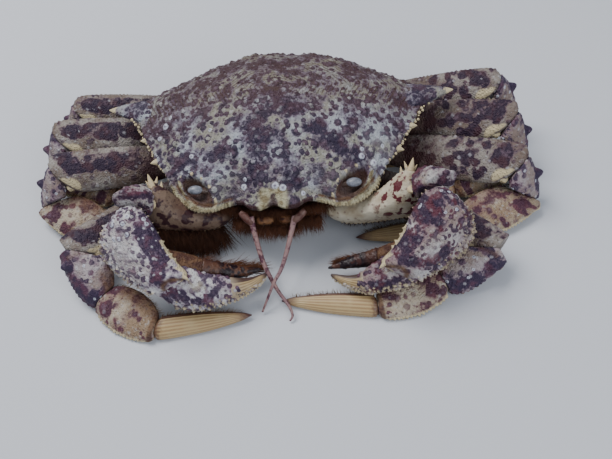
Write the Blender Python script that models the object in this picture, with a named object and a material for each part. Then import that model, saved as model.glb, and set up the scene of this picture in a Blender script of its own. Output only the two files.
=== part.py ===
"""Armed box crab, life size, at rest on its belly with legs and claws folded.

Each shell plate, leg segment, eye and feeler is one closed solid in an object of its own. The frame is the
crab's: +X is its left, -Y is the way it faces, +Z is up and the floor is z = 0. Lengths here are millimetres
until a mesh is made.
"""

import math
import random

import bmesh
import bpy
import numpy as np
from mathutils import Vector

MM = 0.001
GAP = 0.3
JOINT_CUT = 0.12
SIDES = {"left": 1.0, "right": -1.0}

# Shell
SHELL_CENTRE = (0.0, -4.0)
SHELL_CROWN = 39.0
SHELL_BOTTOM = 17.3
SHELL_LIP = 1.9
SHELL_AROUND = 88
SHELL_RINGS = (0.14, 0.28, 0.42, 0.55, 0.66, 0.76, 0.84, 0.9, 0.95, 0.985)
SPINE_TIP = (64.3, 3.0, 28.0)
SPINE_ROOT = (46.5, 0.8, 26.0)
SPINE_RADIUS = 6.6
# Half the shell's margin from the middle of the front round to the middle of the back, with its height
SHELL_MARGIN = (
    (0.0, -43.4, 24.0),
    (3.6, -45.0, 23.6),
    (7.6, -44.4, 23.0),
    (11.5, -41.4, 22.5),
    (17.0, -41.4, 22.0),
    (21.5, -43.0, 21.5),
    (28.0, -41.6, 21.5),
    (33.6, -36.8, 22.5),
    (38.2, -28.5, 24.5),
    (42.4, -22.6, 25.0),
    (44.6, -17.4, 25.5),
    (48.0, -12.2, 26.0),
    (50.8, -5.2, 26.5),
    (54.2, 1.6, 26.8),
    (50.4, 8.2, 26.0),
    (44.0, 13.8, 24.6),
    (36.0, 20.6, 22.6),
    (27.0, 26.8, 20.8),
    (15.0, 30.6, 19.6),
    (0.0, 31.6, 19.2),
)
# Teeth on the margin and the brow, as place and radius, and how far in and down each is rooted
MARGIN_TEETH = ((49.9, -12.9, 26.0, 1.9), (44.6, -23.6, 25.2, 1.8), (29.0, -31.4, 27.6, 1.7))
TOOTH_INWARD = 0.93
TOOTH_SUNK = 0.8
BEADS_BETWEEN = (8, 14)
BEAD_RADIUS = 0.9
BEAD_REACH = 1.2
FRONT_TEETH = ((2.2, -46.4, 23.4), (6.4, -46.4, 22.4))
FRONT_TOOTH_RADIUS = 1.5
# Knobs on the shell: distance of each row from the middle, where it begins and where it ends
KNOB_ROWS = (
    (0, -35, 25), (7.5, -37, 25), (15, -36, 22), (22.5, -29, 20), (30, -24, 16), (37, -20, 11), (43, -11, 6),
)
KNOB_STEP = 6.8
KNOB_RADII = (1.6, 2.4)
# Hollow for the eye, its long axis turned this many degrees from straight out towards the back
ORBIT_CENTRE = (26.2, -37.4, 27.0)
ORBIT_RADII = (7.0, 3.1, 5.6)
ORBIT_TURN = 41.0
EYE_CENTRE = (27.0, -36.9, 25.0)
EYE_RADII = (2.9, 2.1, 2.2)
EYE_STALK = (-4.4, 0.6, -1.6)
EYE_STALK_RADIUS = 1.2
STALK_STATIONS = ((0, 1, 1), (0.5, 0.9, 0.9), (1, 1, 1))

# Underbody: half its outline under the shell, from the mouth round to the back, and (height, share) below it
BODY_OUTLINE = (
    (0.0, -42.0),
    (9.0, -41.6),
    (13.0, -38.0),
    (17.5, -30.0),
    (25.0, -19.0),
    (29.0, -5.0),
    (28.0, 9.0),
    (22.0, 19.5),
    (10.0, 25.0),
    (0.0, 25.5),
)
BODY_CENTRE_Y = -14.0
BODY_LEVELS = ((2.5, 0.66), (3.8, 0.74), (SHELL_BOTTOM - GAP, 1.0))
BODY_AROUND = 36

# Legs: place of the hip along the underbody's side and its height, the breadth of the merus, and lengths
LEG_HIPS = {2: (-15.0, 9.0), 3: (-4.0, 7.6), 4: (5.0, 8.5), 5: (13.5, 10.0)}
LEG_BREADTH = {2: 14.2, 3: 15.0, 4: 14.2, 5: 12.5}
LEG_PARTS = ("base", "merus", "carpus", "propodus", "dactyl")
LEG_LENGTHS = {
    2: {"base": 11.3, "carpus": 18.0, "propodus": 23.2, "dactyl": 32.0},
    3: {"base": 12.9, "carpus": 12.5, "propodus": 28.5, "dactyl": 35.5},
    4: {"base": 12.8, "carpus": 13.4, "propodus": 27.0, "dactyl": 34.0},
    5: {"base": 12.6, "carpus": 13.5, "propodus": 25.3, "dactyl": 29.0},
}
MERUS_LENGTHS = {"left": {2: 52.0, 3: 52.0, 4: 50.8, 5: 50.4}, "right": {2: 49.0, 3: 49.6, 4: 50.2, 5: 48.8}}
# Directions as turn from straight out towards the back, then rise above the floor, in degrees
LEG_POSE = {
    ("left", 2): ((-30, 8), (-43, -0.6), (-155, -18), (-160, -5), (174, -1)),
    ("left", 3): ((-16, 8), (-20.3, 7.7), (-50, -62), (-156, -2), (-178, -4)),
    ("left", 4): ((6, 14), (-16.5, 10.6), (-50, -66), (-154, -9), (-177, -6)),
    ("left", 5): ((8, 16), (-9.5, 13.1), (8, -64), (-153, -16), (-168, -9)),
    ("right", 2): ((-30, 8), (-40.5, 3), (-126, -30), (-148, -4), (172, -1)),
    ("right", 3): ((-16, 8), (-13, 8.3), (-50, -54), (-151, -4), (-176, -4)),
    ("right", 4): ((-2, 12), (-10.4, 11), (-45, -63), (-154, -8), (-176, -6)),
    ("right", 5): ((8, 16), (-5.5, 8.8), (-16, -66), (-153, -10), (-170, -8)),
}
# For each kind of segment: the way its broad side faces, its breadth as a share of the merus, its
# thickness, and stations of (share of length, share of half breadth, share of half thickness)
LEG_SHAPES = {
    "base": ((0.0, -0.5, 0.87), 0.5, 7.0, ((0, 0.9, 0.9), (0.5, 1.05, 1.0), (1, 0.75, 0.75))),
    "merus": (
        (0.0, -0.6, 0.8), 1.0, 5.6,
        ((0, 0.42, 0.8), (0.07, 0.6, 0.95), (0.25, 0.84, 1), (0.6, 1, 1), (0.9, 0.97, 1.05), (1, 0.6, 1)),
    ),
    "carpus": ((0.6, -0.5, 0.6), 0.88, 7.0, ((0, 0.62, 0.85), (0.25, 0.95, 1), (0.7, 1, 1), (1, 0.7, 0.75))),
    "propodus": (
        (0.1, -0.3, 0.95), 0.98, 5.4,
        ((0, 0.6, 0.9), (0.15, 0.9, 1), (0.5, 1.05, 1), (0.85, 0.82, 0.95), (1, 0.5, 0.85)),
    ),
    "dactyl": (
        (0.0, -0.5, 0.87), 0.52, 4.6,
        ((0, 0.8, 0.95), (0.08, 1, 1), (0.5, 0.86, 0.85), (0.85, 0.42, 0.5), (1, 0.07, 0.1)),
    ),
}
# The second leg's carpus lies flatter and is broader than the others'
FLATTER = {(2, "carpus"): ((0.1, -0.6, 0.8), 1.05)}
LEG_SIDES = 10
# Share of a segment over which its rings lean into the joint's plane
SHEARED_SHARE = 0.3
# How far the corner of a sharply bent joint may reach past its middle, and the cosine that counts as sharp
CORNER_REACH = 2.6
SHARP_BEND = 0.5
# Spine at the merus's lower far corner: share of the length, of the half breadth, its reach and its radius
KNEE_SPINE = (0.86, 0.55, 7.5, 2.0)
# Teeth along one margin: shares of the length where they stand, how far they stand out, their radius, and
# the way that margin faces
MARGIN_ROWS = {
    "merus": ((0.3, 0.42, 0.54, 0.66, 0.78), 0.7, 0.9, (0.0, 0.3, 1.0)),
    "carpus": ((0.3, 0.5, 0.7), 0.9, 1.7, (1.0, -0.5, 0.4)),
    "propodus": ((0.2, 0.34, 0.48, 0.62, 0.76), 0.8, 0.95, (0.4, -1.0, 0.0)),
}
DACTYL_FLUTES = 0.06

# Claws
CLAW_ROOT = (17.6, -36.5, 10.8)
CLAW_ELBOW = {"left": (48.0, -38.8, 24.8), "right": (43.0, -40.2, 25.0)}
CLAW_WRIST = {"left": (54.0, -44.2, 30.2), "right": (46.8, -46.2, 30.5)}
ARM_BOW = -3.6
ARM_HALF = (6.8, 5.2)
ARM_FACING = (0.0, -0.8, 0.6)
ARM_STATIONS = (
    (0, 0.5, 0.7), (0.15, 0.62, 0.85), (0.4, 0.66, 0.86),
    (0.62, 0.8, 0.95), (0.85, 1.05, 1), (1, 0.75, 0.85),
)
# Spines near the elbow: foot and tip from a place on the arm's line, and radius
ARM_SPINE_SHARE = 0.9
ARM_SPINES = (((0.0, 1.5, 1.5), (1.5, 5.5, 8.0), 2.0), ((0.0, -1.5, 1.0), (0.5, -5.5, 3.5), 2.6))
WRIST_HALF = (5.6, 5.0)
WRIST_FACING = (0.0, -0.5, 0.86)
WRIST_STATIONS = ((0, 0.75, 0.85), (0.3, 1, 1), (0.7, 1, 1), (1, 0.75, 0.8))
PALM_TURN = -122.0
PALM_FALL = -31.0
PALM_FACING = (0.25, -0.66, 0.71)
PALM_THICKNESS = 10.0
PALM_LIFT = 1.2
PALM_AHEAD = 2.0
PALM_RINGS = ((1, (0.25, 0.6, 0.86, 1.0)), (-1, (0.97, 0.8, 0.45)))
PALM_SWELL = {1: 0.6, -1: 0.4}
PALM_SPINE = ((22.0, 4.0, 1.0), (30.0, 7.6, 1.0), 2.2)
# The palm's outline in its own plane: along it from the wrist, and across it towards the toothed crest
PALM_OUTLINE = (
    (-1.5, 0.0),
    (2.0, 3.6),
    (7.0, 4.9),
    (16.5, 5.2),
    (23.0, 6.2),
    (28.0, 7.2),
    (29.0, 1.0),
    (28.5, -5.0),
    (24.0, -8.6),
    (19.0, -12.0),
    (12.5, -15.4),
    (7.0, -15.4),
    (2.5, -12.0),
    (-0.8, -6.5),
)
PALM_AXIS = ((5.0, -4.0), (22.0, -2.0))
# Centre lines of the fixed and the movable finger: along and across the palm and out of its plane
POLLEX_PATH = {
    "left": (
        (21.0, -4.0, -0.8), (29.5, 0.6, -4.4), (35.6, 5.6, -6.6), (37.9, 11.0, -10.0), (38.6, 16.8, -13.5),
    ),
    "right": (
        (23.0, -3.4, -0.8), (34.0, 4.5, -4.6), (38.4, 11.3, -9.1), (40.0, 18.3, -14.0), (39.6, 23.6, -17.5),
    ),
}
FINGER_PATH = {
    "left": ((26.6, 5.8, -8.6), (30.0, 9.8, -11.6), (33.6, 14.0, -14.0), (37.0, 18.0, -15.8)),
    "right": ((27.8, 7.8, -9.2), (32.0, 12.6, -12.8), (35.4, 17.6, -16.2), (37.2, 22.2, -18.6)),
}
KNUCKLE = {"left": (18.0, -1.5, -0.8), "right": (18.5, 0.5, -1.2)}
POLLEX_HALF = ((5.2, 4.0), (0.5, 0.5))
FINGER_HALF = ((3.5, 3.2), (0.4, 0.4))
FINGER_SIZE = {"left": 0.86, "right": 1.0}
CREST_TEETH = ((4, 4.2), (9, 5.2), (14, 5.4), (19, 6.0))
CREST_RADIUS = 1.3
LOWER_TEETH = ((3, -12.2), (6, -14.6), (10, -15.6), (14, -15.0), (18, -12.6), (22, -10.2), (26, -7.2))

# Row of teeth down the fixed finger: places of its line, their radius, and how far they are sunk and reach
POLLEX_ROW = (2, 8)
POLLEX_TOOTH = (1.0, 1.4, 1.1)
KNUCKLE_STATIONS = ((0, 1, 1), (0.6, 1.1, 1.1), (1, 1, 1))

# Underside flap, mouth and feelers
FLAP_PATH = ((27.4, 15.5), (27.2, 9.0), (24.0, 3.6), (16.0, 0.95), (0.0, 0.95), (-14.0, 0.95), (-22.0, 1.1))
FLAP_HALF_BREADTH = (9.0, 11.0, 11.5, 10.5, 7.0, 5.5, 1.5)
FLAP_THICKNESS = 2.1
FLAP_CORNERS = ((1, 0.2), (0.94, 0.5), (-0.94, 0.5), (-1, 0.2), (-0.97, -0.5), (0.97, -0.5))
FEELER_PATHS = {
    "left": (
        (6.6, -44.8, 18.4), (5.4, -48.8, 15.8), (3.6, -54.6, 12.4), (1.6, -60.4, 10.2),
        (-0.8, -64.6, 8.6), (-3.0, -68.0, 5.4), (-5.4, -71.4, 1.2),
    ),
    "right": (
        (-8.4, -44.2, 18.2), (-7.4, -48.6, 14.6), (-5.0, -56.3, 9.4), (-2.2, -61.8, 6.2),
        (0.4, -66.2, 4.8), (3.6, -70.6, 3.6), (4.8, -73.4, 1.9), (3.9, -75.0, 0.9),
    ),
}
FEELER_RADIUS = 1.1
FEELER_TIP_RADIUS = 0.35
# Joint at the feeler's foot: from beside it inwards, half breadth and half thickness, and stations
FEELER_FOOT_REACH = (3.6, 1.3, 1.2)
FEELER_FOOT_HALF = (1.5, 1.2)
FEELER_FOOT_STATIONS = ((0, 0.8, 0.9), (0.3, 1, 1), (0.7, 1, 1), (1, 0.7, 0.7))
MOUTHPART_LINE = ((4.0, -38.2, 5.5), (3.9, -44.6, 16.6))
MOUTHPART_HALF = (3.4, 1.5)
MOUTHPART_FACING = (0.0, -1.0, -0.5)
MOUTHPART_STATIONS = ((0, 0.7, 0.8), (0.2, 1, 1), (0.7, 1, 1), (1, 0.7, 0.8))

COLOURS = {
    "shell": (0.30, 0.24, 0.28, 0.42),
    "leg": (0.36, 0.27, 0.26, 0.45),
    "finger": (0.50, 0.36, 0.18, 0.4),
    "claw_tip": (0.12, 0.07, 0.06, 0.35),
    "underside": (0.55, 0.47, 0.33, 0.5),
    "mouth": (0.30, 0.14, 0.08, 0.55),
    "feeler": (0.22, 0.12, 0.14, 0.6),
    "eye": (0.28, 0.32, 0.38, 0.12),
}


def unit(vector):
    vector = np.asarray(vector, float)
    return vector / np.linalg.norm(vector)


def heading(turn, rise, side):
    """Direction from a turn from straight out towards the back and a rise above the floor, in degrees."""
    turn, rise = math.radians(turn), math.radians(rise)
    level = math.cos(rise)
    return np.array([side * math.cos(turn) * level, math.sin(turn) * level, math.sin(rise)])


def mirrored(point, side):
    return np.array([side * point[0], point[1], point[2]])


def material(name):
    """Principled material of this colour set, made once."""
    if name not in bpy.data.materials:
        red, green, blue, roughness = COLOURS[name]
        made = bpy.data.materials.new(name)
        made.use_nodes = True
        shader = made.node_tree.nodes["Principled BSDF"]
        shader.inputs["Base Color"].default_value = (red, green, blue, 1.0)
        shader.inputs["Roughness"].default_value = roughness
        made.diffuse_color = (red, green, blue, 1.0)
    return bpy.data.materials[name]


def smooth_curve(points, count, closed=False):
    """Catmull-Rom curve through the points, read at evenly spaced parameters."""
    points = np.asarray(points, float)
    before, after = 2 * points[:1] - points[1:2], 2 * points[-1:] - points[-2:-1]
    if closed:
        before, after = points[-1:], points[:2]
    padded = np.concatenate([before, points, after])
    spans = len(points) if closed else len(points) - 1
    at = np.linspace(0, spans, count, endpoint=not closed)
    i = np.minimum(at.astype(int), spans - 1)
    t = (at - i)[:, None]
    a, b, c, d = (padded[i + k] for k in range(4))
    return b + 0.5 * t * (c - a + t * (2 * a - 5 * b + 4 * c - d + t * (3 * (b - c) + d - a)))


def tube(rings):
    """Points and faces of a closed skin over rings of points, with a fan over each end."""
    rings = np.asarray(rings, float)
    count, around = rings.shape[:2]
    points = np.concatenate([rings.reshape(-1, 3), rings[0].mean(0)[None], rings[-1].mean(0)[None]])
    first, last = count * around, count * around + 1
    faces = []
    for j in range(around):
        k = (j + 1) % around
        for i in range(0, (count - 1) * around, around):
            faces.append((i + j, i + k, i + around + k, i + around + j))
        end = (count - 1) * around
        faces.append((k, j, first))
        faces.append((end + j, end + k, last))
    return points, faces


def section(around, keel):
    """Unit outline |x|^keel + |y|^keel = 1: 2 is round, less gives sharp edges left and right."""
    angle = np.arange(around) * math.tau / around
    c, s = np.cos(angle), np.sin(angle)
    return np.sign(c) * np.abs(c) ** (2 / keel), np.sign(s) * np.abs(s) ** (2 / keel)


def segment(
    start, end, stations, half, facing, planes=None, around=LEG_SIDES, keel=1.8, bow=0.0, flutes=0.0,
):
    """Jointed piece from start to end, of stations (share of length, breadth, thickness) times half.

    Its broad side faces the way given. Its two ends lie in the planes given, so that it meets its
    neighbours face to face. Bow arches it across its breadth, and flutes raise every other corner.
    """
    along = unit(end - start)
    across = unit(np.cross(facing, along))
    normal = np.cross(along, across)
    x, y = section(around, keel)
    if flutes:
        swell = 1 + flutes * np.cos(np.arange(around) * math.pi)
        x, y = x * swell, y * swell
    planes = planes or (along, along)
    rings = []
    for share, breadth, thickness in stations:
        centre = start + (end - start) * share + across * bow * 4 * share * (1 - share)
        ring = np.outer(x * half[0] * breadth, across) + np.outer(y * half[1] * thickness, normal)
        plane, from_end = (planes[0], share) if share < 0.5 else (planes[1], 1 - share)
        weight = max(0, 1 - from_end / SHEARED_SHARE)
        shear = (ring @ plane) / (along @ plane)
        rings.append(centre + ring - np.outer(shear * weight, along))
    return tube(rings)


def thorn(foot, tip, radius, around=5):
    """Cone from a foot that is sunk in the plate to its tip."""
    foot, tip = np.asarray(foot, float), np.asarray(tip, float)
    along = unit(tip - foot)
    side = unit(np.cross(along, (0.3, 0.2, 0.93)))
    up = np.cross(along, side)
    angle = np.arange(around) * math.tau / around
    ring = foot + radius * (np.outer(np.cos(angle), side) + np.outer(np.sin(angle), up))
    points = np.concatenate([ring, foot[None], tip[None]])
    faces = []
    for j in range(around):
        k = (j + 1) % around
        faces.append((k, j, around))
        faces.append((j, k, around + 1))
    return points, faces


def ball(centre, radii, around=12, rows=7, turn=0.0):
    """Ellipsoid as rings round its upright axis, turned about it by this many degrees."""
    rise = np.linspace(-0.5, 0.5, rows) * math.pi * 0.86
    angle = np.arange(around) * math.tau / around
    c, s = math.cos(math.radians(turn)), math.sin(math.radians(turn))
    turned = np.array([[c, s, 0], [-s, c, 0], [0, 0, 1]])
    rings = []
    for r in rise:
        ring = np.column_stack([np.cos(angle), np.sin(angle), np.full(around, math.tan(r))]) * math.cos(r)
        rings.append(np.asarray(centre) + (ring * np.asarray(radii)) @ turned)
    return tube(rings)


def mesh_from(name, shape):
    """Mesh of one shape, in metres, with its faces turned outwards."""
    points, faces = shape
    mesh = bpy.data.meshes.new(name)
    mesh.from_pydata([tuple(p) for p in np.asarray(points) * MM], [], faces)
    work = bmesh.new()
    work.from_mesh(mesh)
    bmesh.ops.triangulate(work, faces=work.faces)
    bmesh.ops.recalc_face_normals(work, faces=work.faces)
    work.to_mesh(mesh)
    work.free()
    return mesh


def plain_object(name, shape):
    made = bpy.data.objects.new(name, mesh_from(name, shape))
    bpy.context.scene.collection.objects.link(made)
    return made


def keep_largest(mesh):
    """Leaves only the closed surface that holds the most volume."""
    work = bmesh.new()
    work.from_mesh(mesh)
    bmesh.ops.triangulate(work, faces=work.faces)
    unseen = set(work.faces)
    islands = []
    while unseen:
        grown = [unseen.pop()]
        for face in grown:
            for edge in face.edges:
                for other in edge.link_faces:
                    if other in unseen:
                        unseen.remove(other)
                        grown.append(other)
        volume = sum(f.verts[0].co.dot(f.verts[1].co.cross(f.verts[2].co)) for f in grown) / 6
        islands.append((abs(volume), grown))
    islands.sort(key=lambda item: item[0])
    for _, faces in islands[:-1]:
        bmesh.ops.delete(work, geom=faces, context="FACES")
    loose = [v for v in work.verts if not v.link_faces]
    bmesh.ops.delete(work, geom=loose, context="VERTS")
    work.to_mesh(mesh)
    work.free()


def boolean(obj, shapes, operation, solver="EXACT"):
    """Joins shapes to the object, or cuts them from it, in one Boolean on a collection."""
    group = bpy.data.collections.new(obj.name + "_pieces")
    helpers = [bpy.data.objects.new("piece", mesh_from("piece", shape)) for shape in shapes]
    for helper in helpers:
        group.objects.link(helper)
    step = obj.modifiers.new(operation.lower(), "BOOLEAN")
    step.operation = operation
    step.operand_type = "COLLECTION"
    step.collection = group
    step.solver = solver
    graph = bpy.context.evaluated_depsgraph_get()
    result = bpy.data.meshes.new_from_object(obj.evaluated_get(graph))
    obj.modifiers.remove(step)
    obj.data = result
    for helper in helpers:
        bpy.data.objects.remove(helper)
    bpy.data.collections.remove(group)
    keep_largest(obj.data)


def cut(obj, point, normal):
    """Cuts off what lies beyond a plane, where its normal points, and closes the cut with a flat."""
    point, normal = Vector(np.asarray(point, float) * MM), Vector(normal).normalized()
    work = bmesh.new()
    work.from_mesh(obj.data)
    if max((v.co - point).dot(normal) for v in work.verts) > 1e-6:
        geometry = list(work.verts) + list(work.edges) + list(work.faces)
        bmesh.ops.bisect_plane(work, geom=geometry, plane_co=point, plane_no=normal, clear_outer=True)
        rim = [e for e in work.edges if e.is_boundary]
        bmesh.ops.edgeloop_fill(work, edges=rim)
        bmesh.ops.triangulate(work, faces=work.faces)
        bmesh.ops.recalc_face_normals(work, faces=work.faces)
        work.to_mesh(obj.data)
    work.free()


def build(name, shapes, finish, cutters=(), planes=()):
    """One node: the first shape with the others joined to it, less cutters and what lies beyond planes."""
    obj = plain_object(name, shapes[0])
    if len(shapes) > 1:
        boolean(obj, shapes[1:], "UNION")
    if cutters:
        boolean(obj, cutters, "DIFFERENCE")
    for point, normal in planes:
        cut(obj, point, normal)
    cut(obj, (0, 0, 0), (0, 0, -1))
    obj.data.name = name
    obj.data.materials.clear()
    obj.data.materials.append(material(finish))
    obj.data.shade_smooth()
    obj.data.set_sharp_from_angle(angle=math.radians(40))
    return obj


def margin_ring():
    """The shell's whole margin as a ring of points, from its front round by its left side."""
    half = smooth_curve(SHELL_MARGIN, SHELL_AROUND // 2 + 1)
    other = half[-2:0:-1] * (-1, 1, 1)
    return np.concatenate([half, other])


def dome_height(x, y, share, edge_z):
    """Height of the shell's top: a dome that falls gently to the front and steeply at the back."""
    back = np.clip((y - SHELL_CENTRE[1]) / 36.0, 0, 1)
    power = 2.2 + 1.8 * back
    dome = edge_z + (SHELL_CROWN - edge_z) * (1 - share**power) ** (1 - 0.1 * back)
    middle = np.exp(-((x / 13.0) ** 2) - ((y + 12.0) / 15.0) ** 2)
    groove = np.exp(-(((np.abs(x) - 16.0) / 4.5) ** 2) - ((y + 6.0) / 16.0) ** 2)
    return dome + (0.6 * middle - 0.6 * groove) * (1 - share**2)


def shell_surface(x, y):
    """Height of the shell's top at a place in plan, found along the ray from its centre to its margin."""
    ring = margin_ring()
    centre = np.array(SHELL_CENTRE)
    offset = ring[:, :2] - centre
    angles = np.unwrap(np.arctan2(offset[:, 1], offset[:, 0]))
    order = np.argsort(angles % math.tau)
    wanted = math.atan2(y - centre[1], x - centre[0]) % math.tau
    reach = np.interp(wanted, (angles % math.tau)[order], np.hypot(*offset.T)[order], period=math.tau)
    edge_z = np.interp(wanted, (angles % math.tau)[order], ring[order, 2], period=math.tau)
    share = min(math.hypot(x - centre[0], y - centre[1]) / reach, 1.0)
    return float(dome_height(x, y, share, edge_z))


def shell_shape():
    ring = margin_ring()
    centre = np.array(SHELL_CENTRE)
    rings = []
    for share in SHELL_RINGS:
        flat = centre + share * (ring[:, :2] - centre)
        z = dome_height(flat[:, 0], flat[:, 1], share, ring[:, 2])
        rings.append(np.column_stack([flat, z]))
    rings.append(ring - (0, 0, 0.5))
    for share, rise in ((0.965, 1.0), (0.85, 0.62), (0.62, 0.0)):
        flat = centre + share * (ring[:, :2] - centre)
        z = SHELL_BOTTOM + np.maximum(ring[:, 2] - SHELL_LIP - SHELL_BOTTOM, 0) * rise
        rings.append(np.column_stack([flat, z]))
    return tube(rings)


def shell_tubercles():
    """Low knobs in rows along the shell, a little out of line and uneven in size."""
    draw = random.Random(5)
    shapes = []
    for x_row, first, last in KNOB_ROWS:
        for y in np.arange(first, last, KNOB_STEP):
            for sign in (1, -1) if x_row else (1,):
                x = sign * (x_row * (1 - 0.006 * abs(y)) + draw.uniform(-1.2, 1.2))
                y_at = y + draw.uniform(-1.5, 1.5)
                radius = draw.uniform(*KNOB_RADII)
                top = np.array([x, y_at, shell_surface(x, y_at)])
                lift = unit((x * 0.012, (y_at + 4) * 0.015, 1.0))
                shapes.append(thorn(top - 1.2 * lift, top + 0.9 * lift, radius, 6))
    return shapes


def build_shell():
    shapes = [shell_shape()]
    for side in SIDES.values():
        shapes.append(thorn(mirrored(SPINE_ROOT, side), mirrored(SPINE_TIP, side), SPINE_RADIUS, 10))
        for x, y, z, radius in MARGIN_TEETH:
            inward = mirrored((x * TOOTH_INWARD, y * TOOTH_INWARD, z - TOOTH_SUNK), side)
            shapes.append(thorn(inward, mirrored((x, y, z), side), radius, 6))
        edge = smooth_curve(SHELL_MARGIN[slice(*BEADS_BETWEEN)], 13)
        for point in edge[1::2]:
            out = BEAD_REACH * unit((point[0], point[1] - SHELL_CENTRE[1], 0))
            shapes.append(thorn(mirrored(point - out, side), mirrored(point + out, side), BEAD_RADIUS, 5))
        for x, y, z in FRONT_TEETH:
            foot = (x * 0.8, y + 4, z + 0.2)
            shapes.append(thorn(mirrored(foot, side), mirrored((x, y, z), side), FRONT_TOOTH_RADIUS, 6))
    shapes += shell_tubercles()
    hollows = []
    for side in SIDES.values():
        orbit = ball(mirrored(ORBIT_CENTRE, side), ORBIT_RADII, 18, 9, side * ORBIT_TURN)
        hollows += [orbit, eye_stalk(side, GAP)]
    return build("carapace", shapes, "shell", hollows)


def body_ring(level):
    """The underbody's outline at this height."""
    half = smooth_curve(BODY_OUTLINE, BODY_AROUND // 2 + 1)
    ring = np.concatenate([half, half[-2:0:-1] * (-1, 1)])
    heights, shares = zip(*BODY_LEVELS)
    share = np.interp(level, heights, shares)
    centre = (0.0, BODY_CENTRE_Y)
    return np.column_stack([centre + share * (ring - centre), np.full(len(ring), level)])


def body_wall(y, level, side):
    """Place on the underbody's side wall at this y and height, and the way the wall faces there."""
    near, above = (body_ring(z)[: BODY_AROUND // 2 + 1] for z in (level, level + 1.0))
    spots = [np.array([np.interp(at, ring[:, 1], ring[:, 0]), at, z])
             for ring, z, at in ((near, level, y), (near, level, y + 1.0), (above, level + 1.0, y))]
    facing = unit(np.cross(spots[1] - spots[0], spots[2] - spots[0]))
    return mirrored(spots[0], side), mirrored(facing, side)


def build_underbody():
    return build("underbody", [tube([body_ring(level) for level, _ in BODY_LEVELS])], "underside")


def build_flap():
    """Abdomen folded under the belly: a flat tongue along its path, broad at the back."""
    path = smooth_curve([(0, y, z) for y, z in FLAP_PATH], 13)
    breadth = np.interp(np.linspace(0, 1, 13), np.linspace(0, 1, len(FLAP_PATH)), FLAP_HALF_BREADTH)
    ahead = np.gradient(path, axis=0)
    rings = []
    for centre, along, half in zip(path, ahead, breadth):
        normal = unit(np.cross(along, (1, 0, 0)))
        rings.append([centre + (u * half, 0, 0) + normal * v * FLAP_THICKNESS for u, v in FLAP_CORNERS])
    return build("abdomen", [tube(rings)], "underside")


def eye_stalk(side, clearance=0.0):
    """Stalk from the middle of the eye inwards, or the hollow it lies in."""
    centre = mirrored(EYE_CENTRE, side)
    root = centre + mirrored(EYE_STALK, side) * (1 + clearance / 5)
    half = EYE_STALK_RADIUS + clearance
    return segment(root, centre, STALK_STATIONS, (half, half), (0, 0, 1), around=8, keel=2)


def build_eye(label, side):
    return build(f"eye_{label}", [ball(mirrored(EYE_CENTRE, side), EYE_RADII), eye_stalk(side)], "eye")


def build_feeler(label, side):
    """Feeler from beside the mouth down to the floor, with the thick joint at its foot."""
    path = smooth_curve(FEELER_PATHS[label], 15)
    ahead = np.gradient(path, axis=0)
    radii = np.linspace(FEELER_RADIUS, FEELER_TIP_RADIUS, len(path))
    angle = np.arange(6) * math.tau / 6
    rings = []
    for centre, along, radius in zip(path, ahead, radii):
        across = unit(np.cross(along, (0, 0, 1)))
        up = np.cross(unit(along), across)
        rings.append(centre + radius * (np.outer(np.cos(angle), across) + np.outer(np.sin(angle), up)))
    foot = path[0] + mirrored(FEELER_FOOT_REACH, side)
    thick = segment(path[1], foot, FEELER_FOOT_STATIONS, FEELER_FOOT_HALF, ARM_FACING, around=8, keel=2.0)
    return build(f"antenna_{label}", [tube(rings), thick], "feeler")


def build_mouthpart(label, side):
    low, high = (mirrored(point, side) for point in MOUTHPART_LINE)
    shape = segment(low, high, MOUTHPART_STATIONS, MOUTHPART_HALF, MOUTHPART_FACING, around=8, keel=2.6)
    return build(f"mouthpart_{label}", [shape], "mouth")


def margin_teeth(part, start, end, facing, half_breadth, side):
    """Row of small teeth along one margin of a leg segment, leaning towards its far end."""
    shares, rise, radius, outward = MARGIN_ROWS[part]
    way = unit(end - start)
    across = unit(np.cross(facing, way))
    out = across * np.sign(across @ mirrored(outward, side))
    station, breadth = np.array(LEG_SHAPES[part][3]).T[:2]
    teeth = []
    for share in shares:
        reach = half_breadth * np.interp(share, station, breadth)
        foot = start + (end - start) * share + out * (reach - radius - 0.3)
        teeth.append(thorn(foot, foot + out * (radius + 0.3 + rise) + way * 0.5, radius, 5))
    return teeth


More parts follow.
